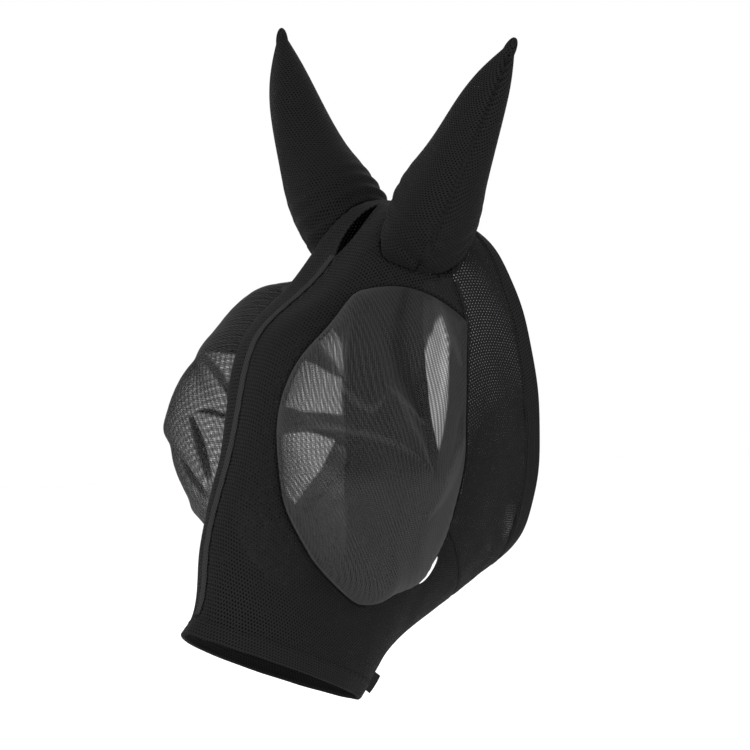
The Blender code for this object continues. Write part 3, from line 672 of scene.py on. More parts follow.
def insideLoop(loop, spots):
    # Even-odd test of points against a closed outline.
    x, y = spots[..., 0, None], spots[..., 1, None]
    x1, y1 = loop[:, 0], loop[:, 1]
    x2, y2 = np.roll(x1, -1), np.roll(y1, -1)
    crosses = (y1 > y) != (y2 > y)
    meets = x1 + (y - y1) / np.where(y2 == y1, 1e-12, y2 - y1) * (x2 - x1)
    return (crosses & (x < meets)).sum(-1) % 2 == 1


earLoop = closedCurve(earCut["base"], np.arange(120) / 120)
earMiddle = np.array(earCut["base"]).mean(axis=0)


def nearEar(spots):
    # Distance outwards from the ear's base, in metres, and the angle round it.
    loopPoints = clothPlace(earLoop[:, 0], earLoop[:, 1])
    middle = clothPlace(earMiddle[0], earMiddle[1])
    away = clothPlace(spots[..., 0], spots[..., 1]) - middle
    angle = np.arctan2(away[..., 1], away[..., 0])
    loopAway = loopPoints - middle
    loopAngle = np.arctan2(loopAway[:, 1], loopAway[:, 0])
    order = np.argsort(loopAngle)
    rim = np.interp(angle, loopAngle[order], np.linalg.norm(loopAway, axis=-1)[order], period=2 * math.pi)
    return np.linalg.norm(away, axis=-1) - rim, angle


def evenedOut(row):
    # Running mean over 25 columns, with the end values held.
    return np.convolve(np.pad(row, 12, "edge"), np.ones(25) / 25, "valid")


def panelGrid(spokes, seams):
    # Columns follow the spokes and rows run from the eye opening to the edge, closer together
    # towards the face line, where the hood turns over quickly.
    columns, rows = panelCut["perSpoke"] * (len(spokes) - 1) + 1, panelCut["rows"]
    across, up = np.meshgrid(np.linspace(0, 1, columns), np.linspace(0, 1, rows))
    eye, edge = eyeOutline(spokes, across), edgeOfPanel(spokes, across)
    atFace, atJaw = edge[..., 1] <= 0, edge[..., 1] >= 1
    edge[..., 1] = np.where(atFace, turnAt(edge[..., 0], slotHalf(edge[..., 0])), edge[..., 1])
    crowd = np.where(atFace, 2.0, np.where(atJaw, 1.2, 1.5))
    crowd = np.apply_along_axis(evenedOut, 1, crowd)
    spot = eye + (edge - eye) * (1 - (1 - up) ** crowd)[..., None]
    station, turn = betweenHems(spot[..., 0], spot[..., 1]), spot[..., 1]
    uv = clothPlace(station, turn)
    points = hood(station, turn)
    reach, dip = panelCut["seamReach"], panelCut["seamDip"]
    sink = dip * np.exp(-(((np.abs(points[..., 0]) - 0.0002) / reach) ** 2)) * (slotHalf(station) <= 0)
    toEye = np.linalg.norm(points - points[:1], axis=-1)
    sink = sink + dip * 1.2 * np.exp(-((toEye / reach) ** 2))
    for seam, place in (("start", across), ("end", 1 - across)):
        if seam in seams:
            away = place * (len(spokes) - 1) * panelCut["spokeStep"]
            sink = sink + dip * np.exp(-((away / reach) ** 2))
    fromEar, earAngle = nearEar(np.stack([station, turn], -1))
    pucker = np.exp(-np.clip(fromEar, 0, 1) / 0.009) * np.sin(earAngle * 23 + 2 * np.sin(earAngle * 5))
    sink = sink + panelCut["earPucker"] * pucker + dip * 0.8 * np.exp(-((fromEar / 0.0025) ** 2))
    calm = np.clip(toEye / 0.02, 0, 1) * np.clip(np.abs(points[..., 0]) / 0.02, 0, 1)
    sink = sink - panelCut["slack"] * slackness(uv) * calm
    spots = np.stack([station, turn], -1)
    middles = (spots[1:, 1:] + spots[:-1, :-1]) / 2
    return atDepth(station, turn, sink), uv, ~insideLoop(earLoop, middles)


def buildPanels(name, spokes, finish, seams):
    points, uv, keep = panelGrid(spokes, seams)
    made = []
    for side, word in sides:
        piece = gridPiece(
            word + name, mirrorSide(points, side), uv, finish, keep=keep, wall=panelCut["wall"],
            inside=mirrorSide(hoodCut["middle"], side),
        )
        made.append(piece)
    return made, gridArea(points), flatSize(uv)


bothSeams = ("start", "end")
facePanels, faceArea, faceFlat = buildPanels("FacePanel", panelCut["faceSpokes"], faceMesh, bothSeams)
jowlPanels, jowlArea, jowlFlat = buildPanels("JowlPanel", panelCut["jowlSpokes"], jowlMesh, bothSeams)
print("panels laid:", round(faceArea, 4), round(jowlArea, 4))


# Folds of an eye cover: from and to as (station, turn) on the hood, height of the ridge, its width on
# either side, and where along it the ridge is highest. All metres but the places.
leftFolds = (
    {"from": (0.46, 0.17), "to": (0.56, 0.47), "height": 0.010, "widths": (0.004, 0.014), "peak": 0.35},
    {"from": (0.42, 0.18), "to": (0.50, 0.45), "height": -0.012, "widths": (0.012, 0.005), "peak": 0.45},
    {"from": (0.60, 0.16), "to": (0.55, 0.40), "height": 0.006, "widths": (0.004, 0.010), "peak": 0.3},
    {"from": (0.66, 0.14), "to": (0.62, 0.36), "height": -0.005, "widths": (0.008, 0.005), "peak": 0.3},
    {"from": (0.30, 0.30), "to": (0.46, 0.40), "height": 0.005, "widths": (0.005, 0.009), "peak": 0.5},
    {"from": (0.82, 0.33), "to": (0.70, 0.42), "height": 0.005, "widths": (0.004, 0.008), "peak": 0.3},
    {"from": (0.79, 0.47), "to": (0.64, 0.52), "height": -0.005, "widths": (0.006, 0.006), "peak": 0.4},
)
rightFolds = (
    {"from": (0.40, 0.17), "to": (0.47, 0.42), "height": 0.006, "widths": (0.005, 0.010), "peak": 0.3},
    {"from": (0.52, 0.16), "to": (0.54, 0.40), "height": -0.005, "widths": (0.006, 0.006), "peak": 0.3},
    {"from": (0.68, 0.13), "to": (0.62, 0.38), "height": 0.005, "widths": (0.004, 0.009), "peak": 0.3},
    {"from": (0.27, 0.36), "to": (0.42, 0.44), "height": 0.004, "widths": (0.004, 0.007), "peak": 0.4},
)


def foldRise(uv, folds):
    # Each fold is a ridge whose height falls off as a bell to either side of its line, and along
    # the line rises from the rim to its peak and dies away.
    rise = np.zeros(uv.shape[:-1])
    for fold in folds:
        start, end = clothPlace(*fold["from"]), clothPlace(*fold["to"])
        length = np.linalg.norm(end - start)
        way = (end - start) / length
        away = uv - start
        share = (away @ way) / length
        square = away @ np.array([-way[1], way[0]])
        width = np.where(square < 0, *fold["widths"]) * (1 + 0.6 * np.clip(share, 0, 1.3))
        shape = np.where(share < fold["peak"], share / fold["peak"], (1.15 - share) / (1.15 - fold["peak"]))
        rise = rise + fold["height"] * np.exp(-((square / width) ** 2)) * np.clip(shape, 0, 1) ** 0.8
    return rise


quarter = {  # a plane square to the left front quarter, on which the net's folds are laid out
    "across": (0.5736, 0.8192, 0.0), "up": (-0.0500, 0.0350, 0.9981), "middle": (0.0, 0.0, -0.1634),
}
leftNet = {
    "base": 1.0,
    "windows": (  # corners of the places where the net lies single, and how double it is there
        (((-0.0408, 0.0456), (-0.0304, 0.0304), (-0.0304, -0.0009), (-0.0541, 0.0323)), 0.05),
        (((-0.0684, 0.0171), (-0.0304, -0.0047), (-0.0304, -0.0370), (-0.0712, -0.0333),
          (-0.0912, -0.0285)), 0.0),
        (((-0.0921, -0.0541), (-0.0636, -0.0532), (-0.0361, -0.0608), (-0.0522, -0.0902),
          (-0.0751, -0.1216), (-0.0893, -0.1092)), 0.0),
        (((0.0627, 0.0665), (0.0703, 0.0285), (0.0703, -0.0238), (0.0627, -0.0617), (0.0561, -0.0969),
          (0.0437, -0.0475), (0.0370, -0.0143), (0.0466, 0.0238)), 0.20),
    ),
    "creases": (  # line, half width, height
        (((-0.0247, -0.0827), (-0.0352, -0.0959), (-0.0503, -0.1111), (-0.0751, -0.1378)), 0.0022, -0.0022),
        (((-0.0921, -0.0532), (-0.0522, -0.0503), (-0.0219, -0.0522), (0.0086, -0.0599), (0.0276, -0.0693),
          (0.0522, -0.0883)), 0.0030, 0.0035),
        (((0.0086, -0.0086), (0.0276, -0.0256), (0.0475, -0.0475)), 0.0022, 0.0020),
        (((0.0143, -0.0047), (0.0333, -0.0428), (0.0541, -0.0902)), 0.0024, 0.0020),
        (((-0.0304, -0.0095), (-0.0181, -0.0238), (-0.0029, -0.0314), (0.0086, -0.0199)), 0.0030, 0.0028),
        (((0.0295, 0.0808), (0.0219, 0.0428), (0.0276, 0.0029), (0.0428, -0.0380)), 0.0080, -0.0035),
        (((-0.0560, 0.0330), (-0.0380, 0.0100), (-0.0304, -0.0020)), 0.0018, 0.0020),
        (((0.0480, 0.0850), (0.0620, 0.0620), (0.0800, 0.0100)), 0.0040, 0.0025),
        (((0.0850, -0.0600), (0.0700, -0.1000), (0.0500, -0.1350)), 0.0040, 0.0025),
    ),
}
rightNet = {
    "base": 0.0,
    "windows": (
        (((-0.0900, 0.1000), (-0.1650, 0.0600), (-0.1850, 0.0300), (-0.1596, 0.0230),
          (-0.1283, 0.0205), (-0.0900, 0.0300)), 0.95),
    ),
    "creases": (
        (((-0.1701, -0.0342), (-0.1587, -0.0342), (-0.1416, -0.0408)), 0.0022, -0.0030),
        (((-0.1757, -0.0408), (-0.1701, -0.0599), (-0.1587, -0.0979)), 0.0042, -0.0030),
        (((-0.1852, -0.0817), (-0.1777, -0.0940), (-0.1605, -0.1187)), 0.0024, -0.0030),
        (((-0.1928, -0.0998), (-0.1834, -0.1187), (-0.1681, -0.1454)), 0.0024, 0.0025),
        (((-0.1650, 0.0200), (-0.1450, -0.0050), (-0.1330, -0.0300)), 0.0040, 0.0030),
    ),
}


def onQuarter(points, side):
    away = mirrorSide(points, side) - np.array(quarter["middle"])
    return np.stack([away @ np.array(quarter["across"]), away @ np.array(quarter["up"])], -1)


def windowShare(spots, corners, soft=0.0012):
    # Depth inside a convex outline, from its nearest side, turned into a share with a soft edge.
    corners = np.array(corners)
    following = np.roll(corners, -1, axis=0)
    way = unit(following - corners)
    area = (corners[:, 0] * following[:, 1] - corners[:, 1] * following[:, 0]).sum()
    away = spots[..., None, :] - corners
    depth = (way[:, 0] * away[..., 1] - way[:, 1] * away[..., 0]) * np.sign(area)
    return np.clip(depth.min(axis=-1) / soft * 0.5 + 0.5, 0, 1)


def creaseShare(spots, line, half):
    # A bell across the nearest stretch of the line, narrowing to nothing at both ends.
    line = smoothCurve(line, np.linspace(0, 1, 40))
    gap = np.linalg.norm(spots[..., None, :] - line, axis=-1)
    nearest = gap.argmin(axis=-1) / (len(line) - 1)
    width = half * (0.35 + 0.65 * np.sin(math.pi * np.clip(nearest, 0.02, 0.98)))
    return np.exp(-((gap.min(axis=-1) / width) ** 2))


def netLayers(points, net, side):
    # How doubled the net is at each point, 0 to 1, how far its creases lift it, and the painted light and
    # shade on it, 0 to 1.
    spots = onQuarter(points, side)
    spots = spots + 0.0009 * np.stack([slackness(spots * 1.7), slackness(spots[..., ::-1] * 1.9)], -1)
    layers, lift = np.full(spots.shape[:-1], net["base"]), np.zeros(spots.shape[:-1])
    # Painted light: the colour is painted lighter towards the bottom of the cover.
    shade = 0.40 + 0.22 * np.clip((-0.085 - spots[..., 1]) / 0.02, 0, 1)
    for corners, level in net["windows"]:
        share = windowShare(spots, corners)
        layers = layers * (1 - share) + level * share
    for line, half, height in net["creases"]:
        share = creaseShare(spots, line, half)
        layers = np.maximum(layers, 0.9 * share)
        lift = lift + height * share
        # Painted highlight along the raised creases, painted shade along the sunken ones.
        shade = shade + np.sign(height) * share * (0.45 if height > 0 else 0.30)
    return layers, lift, np.clip(shade, 0, 1)


def addLayersMap(piece, layers, shade):
    # A second map: u holds the layers and v the painted light and shade of the net, by each corner's vertex.
    mesh = piece.data
    corner = np.empty(len(mesh.loops), np.int32)
    mesh.loops.foreach_get("vertex_index", corner)
    values = np.stack([layers.ravel()[corner], shade.ravel()[corner]], -1)
    mesh.uv_layers.new(name="Layers").uv.foreach_set("vector", values.astype(np.float32).ravel())
    mesh.uv_layers.active_index = 0
    mesh.uv_layers[0].active_render = True


def coverGrid(folds, phase, net, side):
    # A dome on the hood: raised by a flattened curve of the distance from the middle to the rim,
    # with the folds on it and small gathers where it is sewn in.
    centre = np.array(eyeCut["centre"])
    across = np.arange(eyeCut["columns"] + 1) / eyeCut["columns"]
    across, up = np.meshgrid(across, np.linspace(0.0, 1.0, eyeCut["rows"]) ** 0.8)
    spot = centre + (wholeEye(across) - centre) * up[..., None]
    uv = clothPlace(spot[..., 0], spot[..., 1])
    lean = 1 + (centre - spot) @ np.array(eyeCut["lean"])
    rise = eyeCut["rise"] * lean * (1 - up ** eyeCut["square"]) ** eyeCut["shoulder"]
    loose = 1 - up**6
    rise = rise + foldRise(uv, folds) * loose
    gather = np.sin(across * 2 * math.pi * eyeCut["gathers"] + 3 * np.sin(across * 2 * math.pi * 7 + phase))
    rise = rise + eyeCut["gatherRise"] * gather * up**7 * (1 - up**24)
    rise = rise + eyeCut["slack"] * slackness(uv * 1.3 + phase) * loose
    depth = eyeCut["under"] - rise
    layers, lift, shade = netLayers(atDepth(spot[..., 0], spot[..., 1], depth), net, side)
    return atDepth(spot[..., 0], spot[..., 1], depth - lift * loose), uv, layers, shade


eyeCovers = []
for side, word, folds, net, phase in (
    (1, "left", leftFolds, leftNet, 0.0), (-1, "right", rightFolds, rightNet, 2.1),
):
    points, uv, layers, shade = coverGrid(folds, phase, net, side)
    cover = gridPiece(
        word + "EyeCover", mirrorSide(points[:, :-1], side), uv, eyeGauze, wrap=True,
        inside=mirrorSide(hoodCut["middle"], side), wall=eyeCut["wall"],
    )
    addLayersMap(cover, layers[:, :-1], shade[:, :-1])
    eyeCovers.append((cover, gridArea(points), flatSize(uv)))
print("eye covers raised")


def earFrame():
    # Middle of the left ear's base, its direction, and the two directions across it.
    loop = hood(*closedCurve(earCut["base"], np.arange(72) / 72).T)
    centre = loop.mean(axis=0)
    up = unit(np.array([math.sin(earCut["splay"]), earCut["setBack"], math.cos(earCut["splay"])]))
    side = unit(np.array([1.0, 0, 0]) - up[0] * up)
    return centre, up, side, np.cross(up, side)


def earSurface(across, up, depth=0.0):
    # The base outline drawn up a slightly bowed spine into an ellipse that narrows to a round tip.
    centre, axis, side, fore = earFrame()
    base = hood(*np.moveaxis(closedCurve(earCut["base"], across), -1, 0))
    fromCentre = base - centre
    angle = np.arctan2(fromCentre @ fore, fromCentre @ side)
    last = earCut["taperAt"][-1]
    taper = smoothCurve(earCut["taper"], np.minimum(up, last), earCut["taperAt"])[..., 0]
    end = np.clip((up - last) / (1 - last), 0, 1)
    radius = earCut["halfWidth"] * taper * np.sqrt(np.clip(1 - end**2, 0, 1)) - depth * (end < 1)
    ellipse = (np.cos(angle) * radius * earCut["broad"])[..., None] * side
    ellipse = ellipse + (np.sin(angle) * radius * earCut["deep"])[..., None] * fore
    hold = (np.clip(1 - up / earCut["blend"], 0, 1) ** 1.5)[..., None]
    spine = centre + up[..., None] * earCut["height"] * axis
    spine = spine + np.sin(math.pi * up)[..., None] * np.array(earCut["bow"])
    return spine + hold * fromCentre + (1 - hold) * ellipse


def earGrid(phase):
    # The seam is where the grid starts and ends, so that the knit meets there as it does in cloth.
    around = np.arange(earCut["columns"] + 1) / earCut["columns"]
    around, up = np.meshgrid(around, 1 - (1 - np.linspace(0, 1, earCut["rows"])) ** 1.15)
    points = earSurface(earCut["seamAt"] + around, up)
    normal = normalsOf(points)
    middle = points[:, :-1].mean(axis=1, keepdims=True)
    normal = normal * np.sign((normal * (points - middle)).sum(-1, keepdims=True))
    normal[:, -1] = normal[:, 0] = (normal[:, 0] + normal[:, -1]) / 2
    girth = np.linalg.norm(np.diff(points, axis=1), axis=-1).sum(axis=1)
    fromSeam = np.minimum(around, 1 - around) * girth[:, None]
    uv = np.stack([(around - 0.5) * girth[:, None], up * earCut["height"]], -1)
    ridge = earCut["ridge"]
    rise = -earCut["seamDip"] * np.exp(-((fromSeam / earCut["seamHalf"]) ** 2))
    rise = rise * np.clip((1 - up) / 0.08, 0, 1)
    rise = rise + ridge["rise"] * np.exp(-(((fromSeam - ridge["off"]) / ridge["half"]) ** 2))
    swing = 2 * math.pi * around
    creases = np.sin(95 * up + 2.2 * np.sin(2 * swing + phase) + 1.3 * np.sin(3 * swing))
    creases = creases * np.exp(-((up / earCut["creaseReach"]) ** 2))
    waves = np.sin(3 * swing + 9 * up + phase) * np.sin(math.pi * np.clip(up, 0, 1))
    rise = rise + earCut["creases"] * creases * np.clip(up / 0.03, 0, 1) + earCut["waves"] * waves
    rise = rise * np.clip((1 - up) / 0.06, 0, 1)
    rise = rise - earCut["tuck"] * np.exp(-((up / 0.012) ** 2))
    return points + normal * rise[..., None], uv


ears = []
earPoints, earUv = earGrid(0.6)
earRoot, earAxis = earFrame()[:2]
for side, word in sides:
    ear = gridPiece(
        word + "Ear", mirrorSide(earPoints[:, :-1], side), earUv, earMesh, wrap=True, wall=earCut["wall"],
        inside=mirrorSide(earRoot + earAxis * earCut["height"] * 0.2, side),
    )
    ears.append((ear, gridArea(earPoints), flatSize(earUv)))
print("ears shaped")


hemCut = {
    "columns": 420,
    # The turned hem in section: (share of its width in from the edge, depth under the hood's face)
    "section": (
        (1.02, 0.0012), (1.01, 0.0003), (0.975, -0.0003), (0.935, 0.0001), (0.895, -0.0005),
        (0.80, -0.0008), (0.50, -0.0009), (0.20, -0.0008), (0.07, -0.0003), (0.005, 0.0011),
        (0.06, 0.0026), (0.20, 0.0030), (0.50, 0.0030), (0.80, 0.0028), (0.95, 0.0024), (1.01, 0.0019),
    ),
    "rows": 52,
    "stitchAt": 0.935,
    "stitchReach": 0.16,
    "gathers": (64, 96),  # round the nose and round the neck
    "pucker": 0.0004,
    "wave": 0.0004,
}


def oneSide(around):
    # Turn on either side for a place round the whole hood, 0 to 1 from the face line.
    return 1 - np.abs(1 - 2 * np.mod(around, 1.0))


def evenRound(station, columns):
    # Places round the hood with even steps of cloth between them, on the nose or the neck edge.
    fine = np.linspace(0, 0.5, 1501)
    length = runAlong(hood(station, oneSide(fine)))
    half = np.interp(np.linspace(0, length[-1], columns // 2 + 1), length, fine)
    return np.concatenate([half, 1 - half[-2::-1]])


def turnedOver(vectors, around):
    # Points or directions past half way round belong to the right side.
    sign = np.where(np.mod(around, 1.0) <= 0.5, 1.0, -1.0)
    return vectors * np.stack([sign, np.ones_like(sign), np.ones_like(sign)], -1)


def buildHem(name, atNeck):
    # The section is carried round the opening. Small puckers show where the stitching holds it.
    around = evenRound(1.0 if atNeck else 0.0, hemCut["columns"])
    section = np.array(hemCut["section"])
    loop = np.concatenate([section, section[:1]])
    share, depth = smoothCurve(loop, np.arange(hemCut["rows"]) / hemCut["rows"]).T
    around, share = np.meshgrid(around, share)
    depth = np.broadcast_to(depth[:, None], around.shape)
    turn = oneSide(around)
    station = hemStation(share, turn, atNeck)
    near = np.exp(-(((share - hemCut["stitchAt"]) / hemCut["stitchReach"]) ** 2))
    swing = 2 * math.pi * around
    gather = np.sin(swing * hemCut["gathers"][atNeck] + 1.5 * np.sin(swing * 9))
    lift = hemCut["pucker"] * gather * near + hemCut["wave"] * np.sin(swing * 13) * (1 - share)
    station = np.clip(station, 0.0, 1.0)
    points = turnedOver(atDepth(station, turn, depth - lift), around)
    away = clothPlace(station, turn)
    outer = (np.arange(hemCut["rows"]) < hemCut["rows"] * 0.6)[:, None]
    uv = np.stack([away[..., 0], away[..., 1] + np.where(outer, 0.0, 0.0005)], -1)
    uv = np.concatenate([uv, uv[:1]], axis=0)
    piece = gridPiece(name, points[:, :-1], uv, hemMesh, wrap=True, tube=True)
    turnOut(piece)
    return piece


def turnOut(piece):
    # A closed tube whose volume comes out negative is inside out.
    mesh = piece.data
    mesh.calc_loop_triangles()
    co = np.empty(len(mesh.vertices) * 3, np.float32)
    mesh.vertices.foreach_get("co", co)
    tri = np.empty(len(mesh.loop_triangles) * 3, np.int32)
    mesh.loop_triangles.foreach_get("vertices", tri)
    a, b, c = co.reshape(-1, 3)[tri.reshape(-1, 3)].transpose(1, 0, 2)
    if (a * np.cross(b, c)).sum() < 0:
        mesh.flip_normals()


noseHem = buildHem("noseHem", False)
neckHem = buildHem("neckHem", True)
print("hems turned")


def ribbon(name, line, sideways, outward, width, thick, finish, closed=False, crown=0.0):
    # A flat strip carried along a line: a twelve-sided section, wide across and thin outwards.
    angle = (np.arange(12) + 0.5) / 12 * 2 * math.pi
    acrossShare = np.sign(np.cos(angle)) * np.abs(np.cos(angle)) ** 0.45
    upShare = np.sign(np.sin(angle)) * np.abs(np.sin(angle)) ** 0.6
    lift = upShare * thick / 2 + crown * (1 - acrossShare**2)
    points = line[None] + sideways[None] * (acrossShare * width / 2)[:, None, None]
    points = points + outward[None] * lift[:, None, None]
    run = runAlong(line)
    if closed:
        run = np.append(run, run[-1] + np.linalg.norm(line[0] - line[-1]))
    u = np.append(acrossShare * width / 2, acrossShare[0] * width / 2)
    uv = np.stack(np.broadcast_arrays(u[:, None], run[None, :]), -1)
    if not closed:  # the ends draw together to a point inside the strip
        caps = points.mean(axis=0, keepdims=True)
        points = np.concatenate([np.broadcast_to(caps[:, :1], points[:, :1].shape), points,
                                 np.broadcast_to(caps[:, -1:], points[:, -1:].shape)], axis=1)
        uv = np.concatenate([uv[:, :1], uv, uv[:, -1:]], axis=1)
    piece = gridPiece(name, points, uv, finish, wrap=closed, tube=True)
    if not closed:
        weld(piece)
    turnOut(piece)
    return piece


def weld(piece):
    # Points in the same place become one.
    work = bmesh.new()
    work.from_mesh(piece.data)
    bmesh.ops.remove_doubles(work, verts=work.verts, dist=1e-7)
    bmesh.ops.dissolve_degenerate(work, edges=work.edges, dist=1e-8)
    work.to_mesh(piece.data)
    work.free()


def lineOnHood(station, turn, depth, side=1):
    # Points, sideways and outward directions along a line drawn on the hood.
    line, outward = atDepth(station, turn, depth), hoodNormal(station, turn)
    sideways = unit(np.cross(np.gradient(line, axis=0), outward))
    return mirrorSide(line, side), mirrorSide(sideways, side), mirrorSide(outward, side)


def centreLine(low, high, count, across, depth, atJaw=False):
    # A line beside the centre plane, on the face or under the jaw. Negative across is the right side.
    station = np.linspace(low, high, count)
    turn = turnAt(station, np.abs(across), atJaw)
    return lineOnHood(station, turn, depth, 1 if across >= 0 else -1)


stitchCut = {"thick": 0.00042, "sides": 6, "rings": 7, "tip": 0.00003, "sag": 0.0004}


def readAt(at, run, values):
    # Three coordinates read at distances along a line.
    return np.stack([np.interp(at, run, values[:, k]) for k in range(3)], -1)


def stitchRow(name, line, outward, pitch=0.0032, length=0.0022):
    # Short capsules of thread laid end to end along a line, each sinking into the cloth at its ends.
    distance = runAlong(line)
    count = int(distance[-1] / pitch)
    at = (np.arange(count) + 0.5) * distance[-1] / count
    centre = readAt(at, distance, line)
    way = unit(readAt(at + 0.0004, distance, line) - readAt(at - 0.0004, distance, line))
    across = unit(np.cross(way, readAt(at, distance, outward)))
    lift = np.cross(across, way)
    around, rings = stitchCut["sides"], stitchCut["rings"]
    ring = np.arange(around) / around * 2 * math.pi
    run = np.linspace(-1, 1, rings)
    girth = np.sqrt(np.clip(1 - run**2, 0, 1)) ** 0.6 * stitchCut["thick"] / 2
    girth[[0, -1]] = stitchCut["tip"]
    sag = -stitchCut["sag"] * run**4
    points = (
        centre[:, None, None] + way[:, None, None] * (run * length / 2)[None, :, None, None]
        + lift[:, None, None] * (sag[:, None] + girth[:, None] * np.sin(ring))[None, :, :, None]
        + across[:, None, None] * (girth[:, None] * np.cos(ring))[None, :, :, None]
    )
    start = (np.arange(count) * around * rings)[:, None, None]
    r, c = np.meshgrid(np.arange(rings - 1), np.arange(around), indexing="ij")
    c2 = (c + 1) % around
    quads = np.stack([r * around + c, r * around + c2, (r + 1) * around + c2, (r + 1) * around + c], -1)
    faces = (quads.reshape(1, -1, 4) + start).reshape(-1, 4)
    first, last = np.arange(around), np.arange(around)[::-1] + around * (rings - 1)
    ends = np.concatenate([first + start[:, 0], last + start[:, 0]])
    mesh = bpy.data.meshes.new(name)
    mesh.from_pydata(points.reshape(-1, 3).tolist(), [], faces.tolist() + ends.tolist())
    mesh.shade_smooth()
    layer = mesh.uv_layers.new(name="UVMap")
    loops = np.empty(len(mesh.loops), np.int32)
    mesh.loops.foreach_get("vertex_index", loops)
    corners = points.reshape(-1, 3)[loops]
    layer.uv.foreach_set("vector", corners[:, 1:].astype(np.float32).ravel())
    row = placeObject(name, mesh)
    row.data.materials.append(threadCloth)
    turnOut(row)
    return row


tapeCut = {
    "width": 0.009, "thick": 0.0007, "depth": 0.0022,
    "bandWidth": 0.0085, "bandThick": 0.0009, "bandOff": -0.0045, "bandLow": 0.042,
    "eyeBinding": (0.008, 0.0007), "eyeEdge": (0.0022, 0.0011), "earBinding": (0.007, 0.0006),
}
onHood = [*facePanels, *jowlPanels, *[c[0] for c in eyeCovers], noseHem, neckHem]
slotEnd = slotCut["length"] / 2 / faceLength
slotLow, slotHigh = slotCut["at"] - slotEnd, slotCut["at"] + slotEnd
bandLow, bandHigh = tapeCut["bandLow"], slotLow + 0.004


def addTape(name, line):
    piece = ribbon(name, *line, tapeCut["width"], tapeCut["thick"], seamTapeCloth)
    onHood.append(piece)
    return piece


def addBinding(name, line, size, finish):
    # Round an opening, where the line's last point is its first again.
    piece = ribbon(name, *(part[:-1] for part in line), *size, finish, closed=True)
    onHood.append(piece)
    return piece


faceTape = addTape("faceSeamTape", centreLine(0.045, bandHigh - 0.01, 220, 0.0, tapeCut["depth"]))
pollTape = addTape("pollSeamTape", centreLine(slotHigh + 0.01, 0.955, 50, 0.0, tapeCut["depth"]))
jawTape = addTape("jawSeamTape", centreLine(0.10, 0.90, 160, 0.0, tapeCut["depth"], atJaw=True))

# The seam's turned allowance lies flat on the right side of the face, top-stitched down both edges.
bandLine = centreLine(bandLow, bandHigh, 260, tapeCut["bandOff"], -0.0004)
seamBand = ribbon(
    "faceSeamBand", *bandLine, tapeCut["bandWidth"], tapeCut["bandThick"], bandMesh, crown=0.0002
)
onHood.append(seamBand)


def roundEye(reach, depth, count=340, side=1):
    # A line round the eye opening at a share of the way from its middle.
    centre = np.array(eyeCut["centre"])
    spot = centre + (wholeEye(np.arange(count + 1) / count) - centre) * reach
    return lineOnHood(spot[:, 0], spot[:, 1], depth, side)


def roundEar(reach, depth, count=150, side=1):
    spot = earMiddle + (closedCurve(earCut["base"], np.arange(count + 1) / count) - earMiddle) * reach
    return lineOnHood(spot[:, 0], spot[:, 1], depth, side)


def seamLine(start, end, count, depth, side=1):
    spot = np.linspace(start, end, count)
    return lineOnHood(spot[:, 0], spot[:, 1], depth, side)


lowerSeam, upperSeam = ((0.616, 0.69), (0.672, 0.935)), ((0.859, 0.355), (0.862, 0.300))
eyeBindings, eyeEdges, earBindings, lowerTapes, upperTapes = [], [], [], [], []
for side, word in sides:
    depth = tapeCut["depth"]
    eyeLine, edgeLine = roundEye(1.0, depth, side=side), roundEye(0.988, 0.0006, side=side)
    earLine = roundEar(1.03, 0.0034, side=side)
    eyeBindings.append(addBinding(word + "EyeBinding", eyeLine, tapeCut["eyeBinding"], seamTapeCloth))
    eyeEdges.append(addBinding(word + "EyeEdge", edgeLine, tapeCut["eyeEdge"], gauzeEdge))
    earBindings.append(addBinding(word + "EarBinding", earLine, tapeCut["earBinding"], seamTapeCloth))
    lowerTapes.append(addTape(word + "LowerJowlTape", seamLine(*lowerSeam, 60, depth, side)))
    upperTapes.append(addTape(word + "UpperJowlTape", seamLine(*upperSeam, 20, depth, side)))


def slotLine(margin, depth, count=150):
    # Round the forelock slot: up its left edge and down its right one.
    share = 1 - np.cos(np.linspace(0, math.pi, count))
    reach = slotCut["length"] / 2 + margin
    station = slotCut["at"] + (share - 1) * reach / faceLength
    half = (slotCut["halfWidth"] + margin) * np.clip(1 - (share - 1) ** 2, 0, 1) ** 0.85 + 0.0002
    turn = turnAt(station, half)
    line, outward = atDepth(station, turn, depth), hoodNormal(station, turn)
    line = np.concatenate([line, mirrorSide(line[-2:0:-1], -1)])
    outward = np.concatenate([outward, mirrorSide(outward[-2:0:-1], -1)])
    way = np.roll(line, -1, axis=0) - np.roll(line, 1, axis=0)
    return line, unit(np.cross(way, outward)), outward


slotBinding = ribbon("forelockSlotBinding", *slotLine(0.0005, 0.0006), 0.0032, 0.0017, hemMesh, closed=True)
onHood.append(slotBinding)
print("tapes and bindings sewn in")

stitching = []


def hemStitches(name, atNeck):
    around = evenRound(1.0 if atNeck else 0.0, 900)
    turn = oneSide(around)
    station = hemStation(hemCut["stitchAt"], turn, atNeck)
    line = turnedOver(atDepth(station, turn, -0.0003), around)
    stitching.append(stitchRow(name, line, turnedOver(hoodNormal(station, turn), around)))


hemStitches("noseHemStitches", False)
hemStitches("neckHemStitches", True)
for across, word in ((-0.0016, "Inner"), (-0.0084, "Outer")):
    line, _, outward = centreLine(bandLow + 0.004, bandHigh - 0.004, 300, across, -0.0010)
    stitching.append(stitchRow("seamBand" + word + "Stitches", line, outward, pitch=0.003, length=0.002))
line, _, outward = slotLine(0.0042, -0.0002)
stitching.append(stitchRow("slotStitches", line, outward, pitch=0.0028, length=0.0019))
for side, word in sides:
    line, _, outward = roundEye(1.030, -0.0001, 420, side)
    stitching.append(stitchRow(word + "EyeStitches", line, outward, pitch=0.003, length=0.002))
onHood += stitching
print("stitching:", len(stitching), "rows")

labelCut = {"at": 0.115, "length": 0.020, "out": 0.009, "thick": 0.0011, "lean": 0.0016, "wall": 0.00035}


